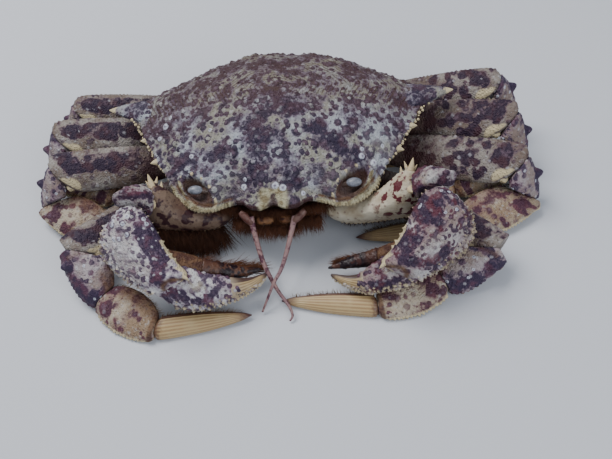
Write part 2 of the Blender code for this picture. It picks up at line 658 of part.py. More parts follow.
def build_leg(label, side, number):
    """Five segments from the hip, each closed against the next in the plane that halves their bend."""
    start, wall = body_wall(*LEG_HIPS[number], side)
    ways = [heading(turn, rise, side) for turn, rise in LEG_POSE[label, number]]
    breadth = LEG_BREADTH[number]
    for index, part in enumerate(LEG_PARTS):
        facing, share, thickness, stations = LEG_SHAPES[part]
        facing, share = FLATTER.get((number, part), (facing, share))
        way = ways[index]
        length = MERUS_LENGTHS[label][number] if part == "merus" else LEG_LENGTHS[number][part]
        end = start + way * length
        before = unit(ways[index - 1] + way) if index else wall
        after = unit(way + ways[index + 1]) if index + 1 < len(ways) else way
        half = (breadth * share / 2, thickness / 2)
        first = start + way * (GAP / 2 if index else GAP) / (way @ before)
        last = end - way * GAP / 2 / (way @ after)
        flutes = DACTYL_FLUTES if part == "dactyl" else 0.0
        facing = mirrored(facing, side)
        shapes = [segment(first, last, stations, half, facing, (before, after), flutes=flutes)]
        if part == "merus":
            across = unit(np.cross(facing, way))
            low = -across if across[2] > 0 else across
            along, out, reach, radius = KNEE_SPINE
            foot = start + way * length * along + low * half[0] * out
            shapes.append(thorn(foot, foot + way * reach + low * half[0] * out, radius, 6))
        if part in MARGIN_ROWS:
            shapes += margin_teeth(part, start, end, facing, half[0], side)
        finish = "finger" if part == "dactyl" else "leg"
        planes = [joint(start, -before)] if index else []
        planes += [joint(end, after)] if part != "dactyl" else []
        if index and way @ ways[index - 1] < SHARP_BEND:
            planes.append((start - way * CORNER_REACH, -way))
        if part != "dactyl" and way @ ways[index + 1] < SHARP_BEND:
            planes.append((end + way * CORNER_REACH, way))
        build(f"leg_{number}_{label}_{part}", shapes, finish, planes=planes)
        start = end


def joint(point, normal):
    """Plane just short of a joint's own, on the side of the piece that it bounds."""
    return point - unit(normal) * JOINT_CUT, normal


def palm_axes(side):
    along = heading(PALM_TURN, PALM_FALL, side)
    facing = mirrored(PALM_FACING, side)
    facing = unit(facing - along * (facing @ along))
    across = np.cross(facing, along) * -side
    return along, across, facing


def palm_shape(origin, side):
    """Plate swollen about its long axis, more on its outer side."""
    along, across, facing = palm_axes(side)
    outline = smooth_curve(PALM_OUTLINE, 30, closed=True)
    low, high = np.array(PALM_AXIS)
    reach = np.clip((outline - low) @ (high - low) / ((high - low) @ (high - low)), 0, 1)
    axis = low + reach[:, None] * (high - low)
    rings = []
    for face, shares in PALM_RINGS:
        for share in shares:
            flat = axis + share * (outline - axis)
            bulge = face * PALM_THICKNESS * PALM_SWELL[face] * (1 - share**2.4) ** 0.6
            rings.append(origin + flat @ np.array([along, across]) + bulge * facing)
    return tube(rings)


def finger_shape(path, first, last, facing):
    """Tapering finger along a curved path."""
    ahead = np.gradient(path, axis=0)
    x, y = section(10, 1.9)
    share = np.linspace(0, 1, len(path)) ** 1.4
    rings = []
    for centre, along, s in zip(path, ahead, share):
        across = unit(np.cross(facing, along))
        normal = np.cross(unit(along), across)
        width = first[0] + (last[0] - first[0]) * s
        depth = first[1] + (last[1] - first[1]) * s
        rings.append(centre + np.outer(x * width, across) + np.outer(y * depth, normal))
    return tube(rings)


def build_claw(label, side):
    root = mirrored(CLAW_ROOT, side)
    elbow = mirrored(CLAW_ELBOW[label], side)
    wrist = mirrored(CLAW_WRIST[label], side)
    along, across, facing = palm_axes(side)
    ways = (unit(elbow - root), unit(wrist - elbow), along)
    bends = (unit(ways[0] + ways[1]), unit(ways[1] + ways[2]))

    arm_end = elbow - ways[0] * GAP / 2 / (ways[0] @ bends[0])
    arm = segment(
        root, arm_end, ARM_STATIONS, ARM_HALF, mirrored(ARM_FACING, side), (ways[0], bends[0]), 12,
        bow=side * ARM_BOW,
    )
    top = root + (elbow - root) * ARM_SPINE_SHARE
    spines = [thorn(top + foot, top + mirrored(tip, side), radius, 6) for foot, tip, radius in ARM_SPINES]
    build(f"claw_{label}_arm", [arm] + spines, "shell", planes=[joint(elbow, bends[0])])

    first = elbow + ways[1] * GAP / 2 / (ways[1] @ bends[0])
    last = wrist - ways[1] * GAP / 2 / (ways[1] @ bends[1])
    short = segment(first, last, WRIST_STATIONS, WRIST_HALF, mirrored(WRIST_FACING, side), bends, 12, 2.2)
    build(f"claw_{label}_wrist", [short], "shell", planes=[joint(elbow, -bends[0]), joint(wrist, bends[1])])

    start = wrist + along * (GAP / 2 / (along @ bends[1]) + PALM_AHEAD) + facing * PALM_LIFT

    def place(u, v, w=0.0):
        return start + along * u + across * v + facing * w

    size = FINGER_SIZE[label]
    palm = [palm_shape(start, side)]
    for u, v in CREST_TEETH:
        palm.append(thorn(place(u, v - 2.0), place(u + 1.0, v + 0.9), CREST_RADIUS, 5))
    foot, tip, radius = PALM_SPINE
    palm.append(thorn(place(*foot), place(*tip), radius, 6))
    for u, v in LOWER_TEETH:
        palm.append(thorn(place(u, v + 1.6, 0.8), place(u + 0.4, v - 1.4, 1.2), 1.0, 5))

    pollex = smooth_curve([place(*point) for point in POLLEX_PATH[label]], 11)
    palm.append(finger_shape(pollex, *(np.multiply(half, size) for half in POLLEX_HALF), facing))
    radius, sunk, reach_out = POLLEX_TOOTH
    for point, ahead in list(zip(pollex, np.gradient(pollex, axis=0)))[slice(*POLLEX_ROW)]:
        out = side * unit(np.cross(facing, ahead))
        reach = size * np.interp(np.linalg.norm(pollex[-1] - point), (0, 24), (0.8, 4.6))
        palm.append(thorn(point + out * (reach - sunk), point + out * (reach + reach_out), radius, 5))

    finger = smooth_curve([place(*point) for point in FINGER_PATH[label]], 8)
    knuckle = place(*KNUCKLE[label])
    way, ahead = unit(finger[0] - knuckle), unit(finger[1] - finger[0])
    turn = unit(way + ahead)
    last = finger[0] - way * GAP / 2 / (way @ turn)
    half = np.multiply(FINGER_HALF[0], size)
    palm.append(segment(knuckle, last, KNUCKLE_STATIONS, half, facing, (way, turn)))
    build(f"claw_{label}_palm", palm, "shell", planes=[joint(wrist, -bends[1])])

    finger[0] += ahead * GAP
    shape = finger_shape(finger, *(np.multiply(half, size) for half in FINGER_HALF), facing)
    build(f"claw_{label}_finger", [shape], "claw_tip", planes=[joint(place(*FINGER_PATH[label][0]), -turn)])


def clear_scene():
    for obj in list(bpy.data.objects):
        bpy.data.objects.remove(obj)


def main():
    clear_scene()
    build_shell()
    build_underbody()
    build_flap()
    for label, side in SIDES.items():
        build_eye(label, side)
        build_feeler(label, side)
        build_mouthpart(label, side)
        build_claw(label, side)
        for number in LEG_HIPS:
            build_leg(label, side, number)


main()
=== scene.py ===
"""Looks of a life-size armed box crab at rest: shell, folded legs, toothed claws, hair and a plain studio.

Lengths are millimetres until a mesh is made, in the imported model's frame: +X is the crab's left, -Y the way
it faces and +Z up, with the floor at z = 0.
"""

import logging
import math
from collections.abc import Callable, Mapping, Sequence
from dataclasses import dataclass, field
from enum import Enum
from functools import partialmethod
from typing import Any

import bpy
import numpy as np
from mathutils import Matrix, Vector

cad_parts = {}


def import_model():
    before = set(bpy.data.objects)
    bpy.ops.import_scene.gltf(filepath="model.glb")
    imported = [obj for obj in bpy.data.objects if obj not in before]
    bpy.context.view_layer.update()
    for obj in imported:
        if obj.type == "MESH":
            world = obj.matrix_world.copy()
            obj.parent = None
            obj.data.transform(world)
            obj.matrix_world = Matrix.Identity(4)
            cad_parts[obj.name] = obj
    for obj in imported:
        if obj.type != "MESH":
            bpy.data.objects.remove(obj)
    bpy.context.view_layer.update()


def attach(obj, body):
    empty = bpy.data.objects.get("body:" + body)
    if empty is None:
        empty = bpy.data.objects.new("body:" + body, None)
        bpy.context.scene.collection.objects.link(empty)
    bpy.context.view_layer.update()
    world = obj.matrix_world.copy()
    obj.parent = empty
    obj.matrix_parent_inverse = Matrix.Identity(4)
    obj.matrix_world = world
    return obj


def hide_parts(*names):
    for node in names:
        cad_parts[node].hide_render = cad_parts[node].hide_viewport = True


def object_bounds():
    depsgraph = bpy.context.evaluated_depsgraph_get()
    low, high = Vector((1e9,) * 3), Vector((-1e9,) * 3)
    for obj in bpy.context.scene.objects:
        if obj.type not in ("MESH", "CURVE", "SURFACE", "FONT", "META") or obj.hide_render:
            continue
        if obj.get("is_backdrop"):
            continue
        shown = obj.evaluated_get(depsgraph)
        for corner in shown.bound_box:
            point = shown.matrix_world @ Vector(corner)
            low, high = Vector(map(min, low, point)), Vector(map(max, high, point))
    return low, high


Array = np.ndarray
Colour = tuple[float, float, float]
Point = tuple[float, float, float]
Station = tuple[float, float, float]
Spot = tuple[float, float]
Given = Mapping[str | int, Any] | None

MM = 0.001
BODY = "root"
SIDES = {"left": 1, "right": -1}
FRAME_WIDTH_PX = 612
# Distance of a segment's end from its joint, in millimetres
SEAM = 0.08
COAT_MAP = "OFBake"
# Size of a bristle's patch on the coat's map
PATCH = 0.003
# Bristles never reach below this height
HAIR_FLOOR = 0.15
# Ratio that spreads the tints of neighbouring knobs evenly
GOLDEN = 0.618
log = logging.getLogger("box_crab")


def unit(vectors: Array | Sequence[float]) -> Array:
    """Vectors scaled to length one along the last axis."""
    vectors = np.asarray(vectors, float)
    return vectors / np.maximum(np.linalg.norm(vectors, axis=-1, keepdims=True), 1e-12)


def heading(turn: float, rise: float, side: float) -> Array:
    """Unit vector so many degrees from straight out towards the back, and so many above the floor."""
    turn, rise = math.radians(turn), math.radians(rise)
    return np.array([side * math.cos(turn) * math.cos(rise), math.sin(turn) * math.cos(rise), math.sin(rise)])


def mirrored(point: Sequence[float], side: float) -> Array:
    """Point or direction given for the crab's left, on the side asked for."""
    return np.array([side * point[0], point[1], point[2]])


def set_back(joint: Array, way: Array, plane: Array) -> Array:
    """Point on a segment's line that stands back along it from its joint's plane by the seam's width."""
    return joint + way * SEAM / abs(way @ plane)


def curve(points: Sequence[Sequence[float]] | Array, count: int, closed: bool = False) -> Array:
    """Catmull-Rom curve, the cubic through its points whose slope at each is half the step across it.

    Args:
        points: what the curve passes through.
        count: how many places on it to work out.
        closed: whether it runs back to its first point.

    Returns:
        Array of count points.
    """
    points = np.asarray(points, float)
    ends = (points[-1:], points[:2])
    if not closed:
        ends = (2 * points[:1] - points[1:2], 2 * points[-1:] - points[-2:-1])
    padded = np.concatenate([ends[0], points, ends[1]])
    spans = len(points) if closed else len(points) - 1
    at = np.linspace(0, spans, count, endpoint=not closed)
    i = np.minimum(at.astype(int), spans - 1)
    t = (at - i)[:, None]
    a, b, c, d = (padded[i + k] for k in range(4))
    return b + 0.5 * t * (c - a + t * (2 * a - 5 * b + 4 * c - d + t * (3 * (b - c) + d - a)))


def eased(values: Array | float, low: float, high: float) -> Array:
    """Smooth step: 0 below low, 1 above high, and 3t^2 - 2t^3 between them."""
    t = np.clip((np.asarray(values, float) - low) / (high - low), 0, 1)
    return t * t * (3 - 2 * t)


def bell(values: Array, middle: float, width: Array | float, power: int = 2) -> Array:
    """Bell curve exp(-((values - middle) / width)^power)."""
    return np.exp(-(((values - middle) / width) ** power))


def hill(x: Array, y: Array, middle: Spot, width: Spot) -> Array:
    """Two-way bell exp(-((x - a) / p)^2 - ((y - b) / q)^2) for the middle a, b and the width p, q."""
    return np.exp(-(((x - middle[0]) / width[0]) ** 2) - ((y - middle[1]) / width[1]) ** 2)


def zigzag(values: Array) -> Array:
    """Triangle wave: 1 at whole numbers, 0 half way between them."""
    return np.abs(values % 1 * 2 - 1)


def section(around: int, keel: float) -> tuple[Array, Array, Array]:
    """Outline |x|^keel + |y|^keel = 1, where 2 is round and less gives sharp edges left and right.

    Args:
        around: number of points.
        keel: the power.

    Returns:
        x, y and the angle of each point.
    """
    angle = np.arange(around) * math.tau / around
    c, s = np.cos(angle), np.sin(angle)
    return np.sign(c) * np.abs(c) ** (2 / keel), np.sign(s) * np.abs(s) ** (2 / keel), angle


def nearest(points: Array, centres: Array, chunk: int = 6000) -> tuple[Array, Array]:
    """Closest centre to each point.

    Args:
        points: places to look from.
        centres: places to find.
        chunk: how many points are worked out at once.

    Returns:
        The index of the closest centre and the distance to it, for each point.
    """
    which, gap = [], []
    square = (centres**2).sum(1)
    for part in np.array_split(points, max(1, len(points) // chunk)):
        apart = (part**2).sum(1)[:, None] + square - 2 * part @ centres.T
        which.append(apart.argmin(1))
        gap.append(np.sqrt(np.maximum(apart.min(1), 0)))
    return np.concatenate(which), np.concatenate(gap)


def strips(index: Array) -> Array:
    """Four-sided faces between neighbouring rings, of point numbers by ring and point round the ring."""
    near, far = index[..., :-1, :], index[..., 1:, :]
    return np.stack([near, np.roll(near, -1, -1), np.roll(far, -1, -1), far], -1).reshape(-1, 4)


@dataclass
class Skin:
    """Closed surfaces in millimetres, with named values on their points.

    Attributes:
        points: places of the points.
        quads: four point numbers for each four-sided face.
        tris: three point numbers for each triangle.
        values: one number for each point, under each name.
        patches: for hair, each point's place on the coat's map.
    """

    points: Array
    quads: Array
    tris: Array
    values: dict[str, Array] = field(default_factory=dict)
    patches: Array | None = None

    @classmethod
    def over_rings(cls, rings: Array, **values: Array) -> "Skin":
        """Skin laid over rings of points, with a fan over each end, facing outwards.

        Args:
            rings: array of ring, point around the ring and axis.
            values: arrays of ring and point around the ring.

        Returns:
            The closed skin.
        """
        count, around = rings.shape[:2]
        index = np.arange(count * around).reshape(count, around)
        beyond = np.roll(index, -1, axis=1)
        first, last = count * around, count * around + 1
        fans = [
            np.stack([beyond[0], index[0], np.full(around, first)], -1),
            np.stack([index[-1], beyond[-1], np.full(around, last)], -1),
        ]
        points = np.concatenate([rings.reshape(-1, 3), rings[:1].mean(1), rings[-1:].mean(1)])
        made = cls(points, strips(index), np.concatenate(fans))
        for name, grid in values.items():
            grid = np.broadcast_to(grid, (count, around)).astype(float)
            made.values[name] = np.concatenate([grid.ravel(), grid[:1].mean(1), grid[-1:].mean(1)])
        return made.facing_out()

    def facing_out(self) -> "Skin":
        """Turns the faces round where the sum of their triple products, six times the volume, is below 0."""
        halves = np.concatenate([self.tris, self.quads[:, :3], self.quads[:, [0, 2, 3]]])
        a, b, c = (self.points[halves[:, k]] for k in range(3))
        if (a * np.cross(b, c)).sum() < 0:
            self.quads, self.tris = self.quads[:, ::-1], self.tris[:, ::-1]
        return self

    def normals(self) -> Array:
        """Unit normals at the points: the sum of the cross products of the faces round each."""
        total = np.zeros_like(self.points)
        for faces in (self.quads, self.tris):
            ends = self.points[faces]
            across = np.cross(ends[:, -2] - ends[:, 0], ends[:, -1] - ends[:, -3])
            for k in range(faces.shape[1]):
                np.add.at(total, faces[:, k], across)
        return unit(total)

    def joined(self, *others: "Skin") -> "Skin":
        """This skin and others as one.

        Args:
            others: the others.

        Returns:
            One skin, with 0 for a value that one of them lacks.
        """
        skins = (self, *others)
        starts = np.cumsum([0] + [len(s.points) for s in skins[:-1]])
        names = {name for s in skins for name in s.values}
        return Skin(
            np.concatenate([s.points for s in skins]),
            np.concatenate([s.quads + start for s, start in zip(skins, starts)]),
            np.concatenate([s.tris + start for s, start in zip(skins, starts)]),
            {n: np.concatenate([s.values.get(n, np.zeros(len(s.points))) for s in skins]) for n in names},
            None if any(s.patches is None for s in skins) else np.concatenate([s.patches for s in skins]),
        )

    def kept_within(self, *planes: tuple[Array, Array]) -> "Skin":
        """Points beyond a plane are laid on it.

        Args:
            planes: a point and the way out, for each plane.

        Returns:
            The skin itself.
        """
        for point, normal in planes:
            beyond = np.maximum((self.points - point) @ unit(normal), 0)
            self.points -= np.outer(beyond, unit(normal))
        return self

    def above_floor(self) -> "Skin":
        """Lays what reaches below the floor on the floor."""
        self.points[:, 2] = np.maximum(self.points[:, 2], 0)
        return self

    def painted(self, name: str, amount: Array | float) -> "Skin":
        """Raises a value to at least the amount, which is one number or one for each point."""
        self.values[name] = np.maximum(self.values.get(name, 0), np.broadcast_to(amount, len(self.points)))
        return self

    def raised(self, centres: Array, radii: Array | float, height: float, value: str = "dots",
               peak: float = 0) -> "Skin":
        """Lifts knobs or teeth on the surface and marks them.

        The lift is radius times height times (1 - t^2)^2 for a round knob, where t is the distance from its
        centre over its radius, and goes over to (1 - t)^1.3 as peak goes to 1.

        Args:
            centres: where they stand.
            radii: their radii, or the one radius that they have.
            height: their height over their radius.
            value: name of the value that marks them, 1 at the centre and 0 at 1.3 radii.
            peak: 0 for round knobs, 1 for pointed teeth.

        Returns:
            The skin itself.
        """
        if not len(centres):
            return self
        which, gap = nearest(self.points, centres)
        radius = np.broadcast_to(radii, len(centres))[which]
        t = np.clip(gap / radius, 0, 1)
        shape = (1 - peak) * (1 - t * t) ** 2 + peak * (1 - t) ** 1.3
        self.points = self.points + self.normals() * (radius * height * shape)[:, None]
        mark = np.clip(1 - gap / (radius * 1.3), 0, 1)
        self.values["tint"] = np.where(mark > 0, (which * GOLDEN) % 1, self.values.get("tint", 0))
        return self.painted(value, mark)

    def strewn(self, spacing: float, where: Array, seed: int) -> Array:
        """Places spread over part of the surface, one from each cell of a cubic lattice.

        Args:
            spacing: side of a cell.
            where: whether a point may be chosen, for each.
            seed: seed of the draw.

        Returns:
            The places.
        """
        draw = np.random.default_rng(seed)
        order = draw.permutation(np.flatnonzero(where))
        cells = np.floor(self.points[order] / spacing + draw.random(3)).astype(int)
        first = np.unique(cells, axis=0, return_index=True)[1]
        return self.points[order[first]]

    def to_object(self, name: str) -> bpy.types.Object:
        """Makes a smooth-shaded object with its place in its mesh, in metres.

        Args:
            name: the object's name.

        Returns:
            The object, with the values as attributes and the patches as a UV map.
        """
        mesh = bpy.data.meshes.new(name)
        mesh.vertices.add(len(self.points))
        mesh.vertices.foreach_set("co", (self.points * MM).astype(np.float32).ravel())
        corners = np.concatenate([self.quads.ravel(), self.tris.ravel()]).astype(np.int32)
        sizes = np.repeat([4, 3], [len(self.quads), len(self.tris)])
        mesh.loops.add(len(corners))
        mesh.loops.foreach_set("vertex_index", corners)
        mesh.polygons.add(len(sizes))
        starts = np.concatenate([[0], np.cumsum(sizes)[:-1]])
        mesh.polygons.foreach_set("loop_start", starts.astype(np.int32))
        mesh.polygons.foreach_set("use_smooth", np.ones(len(sizes), bool))
        mesh.update(calc_edges=True)
        for value, numbers in self.values.items():
            stored = mesh.attributes.new(value, "FLOAT", "POINT")
            stored.data.foreach_set("value", numbers.astype(np.float32))
        if self.patches is not None:
            layer = mesh.uv_layers.new(name=COAT_MAP)
            layer.data.foreach_set("uv", self.patches[corners].astype(np.float32).ravel())
        made = bpy.data.objects.new(name, mesh)
        bpy.context.scene.collection.objects.link(made)
        return made


def thorn(foot: Array, tip: Array, radius: float, curl: float = 0, around: int = 14, rows: int = 10) -> Skin:
    """Tapering spine whose radius falls as (1 - t)^0.8 from foot to tip, bent upwards in a parabola.

    Args:
        foot: where it is rooted.
        tip: its point.
        radius: its radius at the foot.
        curl: how far its middle is pushed down.
        around: points round it.
        rows: rings along it.

    Returns:
        The skin, with its share of length as the value along.
    """
    foot, tip = np.asarray(foot, float), np.asarray(tip, float)
    way = unit(tip - foot)
    side = unit(np.cross(way, (0.3, 0.2, 0.93)))
    up = np.cross(side, way)
    x, y, _ = section(around, 2)
    t = np.linspace(0, 0.985, rows)
    centre = foot + np.outer(t, tip - foot) - np.outer(4 * curl * t * (1 - t), up)
    ring = np.outer(x, side) + np.outer(y, up)
    rings = centre[:, None] + ring[None] * (radius * (1 - t) ** 0.8)[:, None, None]
    return Skin.over_rings(rings, along=t[:, None], cream=eased(t, 0.1, 0.6)[:, None])


def ball(centre: Array, radii: Sequence[float], around: int = 40, rows: int = 24) -> Skin:
    """Ellipsoid from rings about its upright axis.

    Args:
        centre: its middle.
        radii: its three radii.
        around: points round it.
        rows: rings up it.

    Returns:
        The skin, with its share of height as the value along.
    """
    rise = np.linspace(-0.495, 0.495, rows)[:, None] * math.pi
    angle = (np.arange(around) * math.tau / around)[None]
    x, y, z = np.broadcast_arrays(np.cos(angle) * np.cos(rise), np.sin(angle) * np.cos(rise), np.sin(rise))
    rings = np.asarray(centre) + np.stack([x, y, z], -1) * np.asarray(radii)
    return Skin.over_rings(rings, along=(z + 1) / 2)


@dataclass
class Limb:
    """Jointed segment: a flattened section carried along a line, with its ends in the joints' planes.

    Attributes:
        start: middle of its near end.
        end: middle of its far end.
        stations: share of length, of half breadth and of half thickness, at a few places.
        half: half breadth and half thickness.
        facing: the way its broad side faces.
        planes: directions square to its two end faces.
        keel: the section's power.
        bow: how far its middle arches across its breadth.
        around: points round it.
        rows: rings along it.
    """

    start: Array
    end: Array
    stations: Sequence[Station]
    half: tuple[float, float]
    facing: Array
    planes: tuple[Array, Array]
    keel: float = 1.9
    bow: float = 0
    around: int = 64
    rows: int = 72

    def __post_init__(self) -> None:
        """Works out the axes and the shares along."""
        self.way = unit(self.end - self.start)
        self.across = unit(np.cross(self.facing, self.way))
        self.normal = np.cross(self.way, self.across)
        self.length = float(np.linalg.norm(self.end - self.start))
        self.share = np.linspace(0, 1, self.rows)[:, None]
        self.x, self.y, self.angle = section(self.around, self.keel)

    def sizes(self) -> tuple[Array, Array]:
        """Half breadth and half thickness at each ring, with the end rims rounded off."""
        fine = curve(self.stations, 240)
        s = self.share[:, 0]
        rim = 1 - 0.16 * (1 - eased(s, 0, 0.035)) - 0.16 * eased(s, 0.965, 1)
        return tuple(np.interp(s, fine[:, 0], fine[:, k]) * self.half[k - 1] * rim for k in (1, 2))

    def away_from(self, outward: Array) -> float:
        """Angle round the section of the margin that faces nearest the way given: 0 or pi."""
        return 0 if self.across @ outward > 0 else math.pi

    def closeness(self, angle: float, width: float) -> Array:
        """Bell over the section, 1 at an angle round it and falling as exp(-(d / width)^2)."""
        apart = np.abs((self.angle - angle + math.pi) % math.tau - math.pi)
        return bell(apart, 0, width)[None]

    def saw(self, pitch: float, angle: float, width: float) -> Array:
        """Triangle wave this many millimetres long, kept to the bell round an angle of the section."""
        return zigzag(self.share * self.length / pitch) * self.closeness(angle, width)

    def placed(self, angle: float) -> Array:
        """Place across the segment: 1 at the margin that this angle names, -1 at the other."""
        return np.cos(self.angle - angle)[None]

    def blots(self, across: Array, spots: Sequence[tuple[float, float, float]]) -> Array:
        """Round marks, each exp(-(d / size)^4) of the distance from its middle.

        Args:
            across: place across the segment at each point round it, from -1 to 1.
            spots: share of length, place across and radius in millimetres.

        Returns:
            Values by ring and point round the ring.
        """
        marks = np.zeros((self.rows, self.around))
        for share, place, size in spots:
            gap = np.hypot((self.share - share) * self.length, (across - place) * self.half[0])
            marks = np.maximum(marks, bell(gap, 0, size, 4))
        return marks

    def skin(self, relief: Array | float = 0, **values: Array) -> Skin:
        """The segment's surface.

        Each ring is a superellipse across the line. Near its two ends it is sheared into the joint's plane.

        Args:
            relief: how far to lift it, by ring and point round the ring.
            values: numbers by ring and point round the ring.

        Returns:
            The closed skin, with the value along.
        """
        breadth, depth = (size[:, None] for size in self.sizes())
        out = unit(np.stack([self.x / self.half[0], self.y / self.half[1]], -1))
        x = self.x * breadth + relief * out[:, 0]
        y = self.y * depth + relief * out[:, 1]
        ring = x[..., None] * self.across + y[..., None] * self.normal
        arch = self.bow * 4 * self.share * (1 - self.share)
        centre = self.start + self.share * (self.end - self.start) + arch * self.across
        rings = centre[:, None] + ring
        for plane, weight in zip(self.planes, (1 - self.share / 0.3, 1 - (1 - self.share) / 0.3)):
            shear = (ring @ plane) / (self.way @ plane) * np.clip(weight, 0, 1)
            rings = rings - shear[..., None] * self.way
        return Skin.over_rings(rings, along=self.share, **values)

    def on_margin(self, angle: float, shares: Array, inset: float = 0) -> Array:
        """Places on one margin of the segment.

        Args:
            angle: 0 or pi, for the margin on one or the other side.
            shares: shares of the length.
            inset: how far in from the margin, as a share of the half breadth.

        Returns:
            The places.
        """
        s = np.asarray(shares)
        breadth = np.interp(s, self.share[:, 0], self.sizes()[0])
        arch = self.bow * 4 * s * (1 - s)
        reach = math.cos(angle) * breadth * (1 - inset) + arch
        return self.start + np.outer(s, self.end - self.start) + np.outer(reach, self.across)


def tube(path: Array, radii: Array, facing: Array, around: int = 40, keel: float = 2,
         **values: Array) -> Skin:
    """Section carried along a curve: each ring lies square to the curve's slope there.

    Args:
        path: the curve's points.
        radii: half breadth and half depth at each point.
        facing: the way the depth is measured.
        around: points round it.
        keel: the section's power.
        values: numbers by ring and point round the ring.

    Returns:
        The closed skin, with the value along.
    """
    ahead = unit(np.gradient(path, axis=0))
    across = unit(np.cross(facing, ahead))
    normal = np.cross(ahead, across)
    x, y, _ = section(around, keel)
    rings = path[:, None] + (x * radii[:, :1])[..., None] * across[:, None]
    rings = rings + (y * radii[:, 1:])[..., None] * normal[:, None]
    return Skin.over_rings(rings, along=np.linspace(0, 1, len(path))[:, None], **values)


class Value:
    """One socket of a material's nodes. Arithmetic on it adds Math nodes."""

    def __init__(self, graph: "Graph", socket: bpy.types.NodeSocket) -> None:
        """Keeps the socket and the graph that it belongs to."""
        self.graph = graph
        self.socket = socket

    def _math(self, operation: str, swapped: bool, other: Any) -> "Value":
        """Math node on this value and another, or a number, which comes first where swapped."""
        inputs = {0: other, 1: self} if swapped else {0: self, 1: other}
        return self.graph.value("Math", {"operation": operation}, inputs)

    __add__, __radd__ = partialmethod(_math, "ADD", False), partialmethod(_math, "ADD", True)
    __sub__, __rsub__ = partialmethod(_math, "SUBTRACT", False), partialmethod(_math, "SUBTRACT", True)
    __mul__, __rmul__ = partialmethod(_math, "MULTIPLY", False), partialmethod(_math, "MULTIPLY", True)
    __gt__ = partialmethod(_math, "GREATER_THAN", False)
    most, least = partialmethod(_math, "MAXIMUM", False), partialmethod(_math, "MINIMUM", False)

    def step(self, low: float, high: float) -> "Value":
        """Smooth step from 0 at low to 1 at high."""
        inputs = {"Value": self, "From Min": low, "From Max": high}
        return self.graph.value("MapRange", {"interpolation_type": "SMOOTHSTEP"}, inputs)


class Graph:
    """Node graph of one material, ending in a Principled shader."""

    def __init__(self, name: str) -> None:
        """Starts a material with this name."""
        self.material = bpy.data.materials.new(name)
        self.material.use_nodes = True
        self.nodes = self.material.node_tree.nodes
        self.links = self.material.node_tree.links
        self.shader = self.nodes["Principled BSDF"]
        self.place = self.value("TexCoord", output="Object")

    def node(self, kind: str, settings: Given = None, inputs: Given = None) -> bpy.types.Node:
        """Adds a node.

        Args:
            kind: the type of shader node.
            settings: its properties, which are set first.
            inputs: a number, a colour or a value for each socket, by name or place.

        Returns:
            The node.
        """
        made = self.nodes.new(f"ShaderNode{kind}")
        for name, setting in (settings or {}).items():
            setattr(made, name, setting)
        for key, given in (inputs or {}).items():
            self.feed(made.inputs[key], given)
        return made

    def feed(self, socket: bpy.types.NodeSocket, given: Any) -> None:
        """Links a value to a socket, or sets the number or colour that it holds.

        Args:
            socket: the socket.
            given: what it gets.
        """
        if isinstance(given, Value):
            self.links.new(given.socket, socket)
        else:
            socket.default_value = (*given, 1) if socket.type == "RGBA" else given

    def value(self, kind: str, settings: Given = None, inputs: Given = None, output: str | int = 0) -> Value:
        """Adds a node and gives one of its outputs."""
        return Value(self, self.node(kind, settings, inputs).outputs[output])

    def __getitem__(self, name: str) -> Value:
        """The value of this name on the mesh's points."""
        return self.value("Attribute", {"attribute_name": name}, output="Fac")

    def moved(self, offset: Point) -> Value:
        """Object coordinates moved."""
        return self.value("Mapping", {}, {"Vector": self.place, "Location": offset})

    def noise(self, grain: float, detail: float = 2, place: Value | None = None) -> Value:
        """Cloudy noise from 0 to 1 whose grain is this many millimetres."""
        inputs = {"Vector": place or self.place, "Scale": 1 / (grain * MM), "Detail": detail}
        return self.value("TexNoise", {}, inputs)

    def cells(self, grain: float, place: Value | None = None, output: str = "Distance") -> Value:
        """Distance to the nearest of scattered points this many millimetres apart, or their colour."""
        inputs = {"Vector": place or self.place, "Scale": 1 / (grain * MM)}
        return self.value("TexVoronoi", {}, inputs, output)

    def warped(self, grain: float, reach: float) -> Value:
        """Object coordinates pushed about by noise.

        Args:
            grain: grain of the noise.
            reach: how far it pushes them each way at most.

        Returns:
            The moved coordinates.
        """
        inputs = {"Vector": self.place, "Scale": 1 / (grain * MM)}
        noise = self.value("TexNoise", {}, inputs, "Color")
        inputs = {0: noise, 1: (reach * MM,) * 3, 2: self.place}
        return self.value("VectorMath", {"operation": "MULTIPLY_ADD"}, inputs)

    def mix(self, factor: Value | float, first: Value | Colour, second: Value | Colour) -> Value:
        """Colour that goes from the first to the second as the factor goes from 0 to 1."""
        inputs = {0: factor, 6: first, 7: second}
        return self.value("Mix", {"data_type": "RGBA"}, inputs, 2)

    def dress(self, colour: Value | Colour, roughness: Value | float, relief: Value | None = None,
              depth: float = 0.3, **fixed: Any) -> bpy.types.Material:
        """Sets the shader.

        Args:
            colour: base colour.
            roughness: roughness.
            relief: height for the bump, from 0 to 1.
            depth: what a height of 1 stands for, in millimetres.
            fixed: numbers for the shader's own sockets, with _ for a space.

        Returns:
            The material.
        """
        sockets = {"Base Color": colour, "Roughness": roughness, **fixed}
        if relief is not None:
            inputs = {"Height": relief, "Strength": 1, "Distance": depth * MM}
            sockets["Normal"] = self.value("Bump", {}, inputs)
        for name, given in sockets.items():
            self.feed(self.shader.inputs[name.replace("_", " ")], given)
        return self.material


class Slot(Enum):
    """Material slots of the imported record."""

    SHELL = "shell"
    LEG = "leg"
    FINGER = "finger"
    CLAW_TIP = "claw_tip"
    UNDERSIDE = "underside"
    MOUTH = "mouth"
    FEELER = "feeler"
    EYE = "eye"


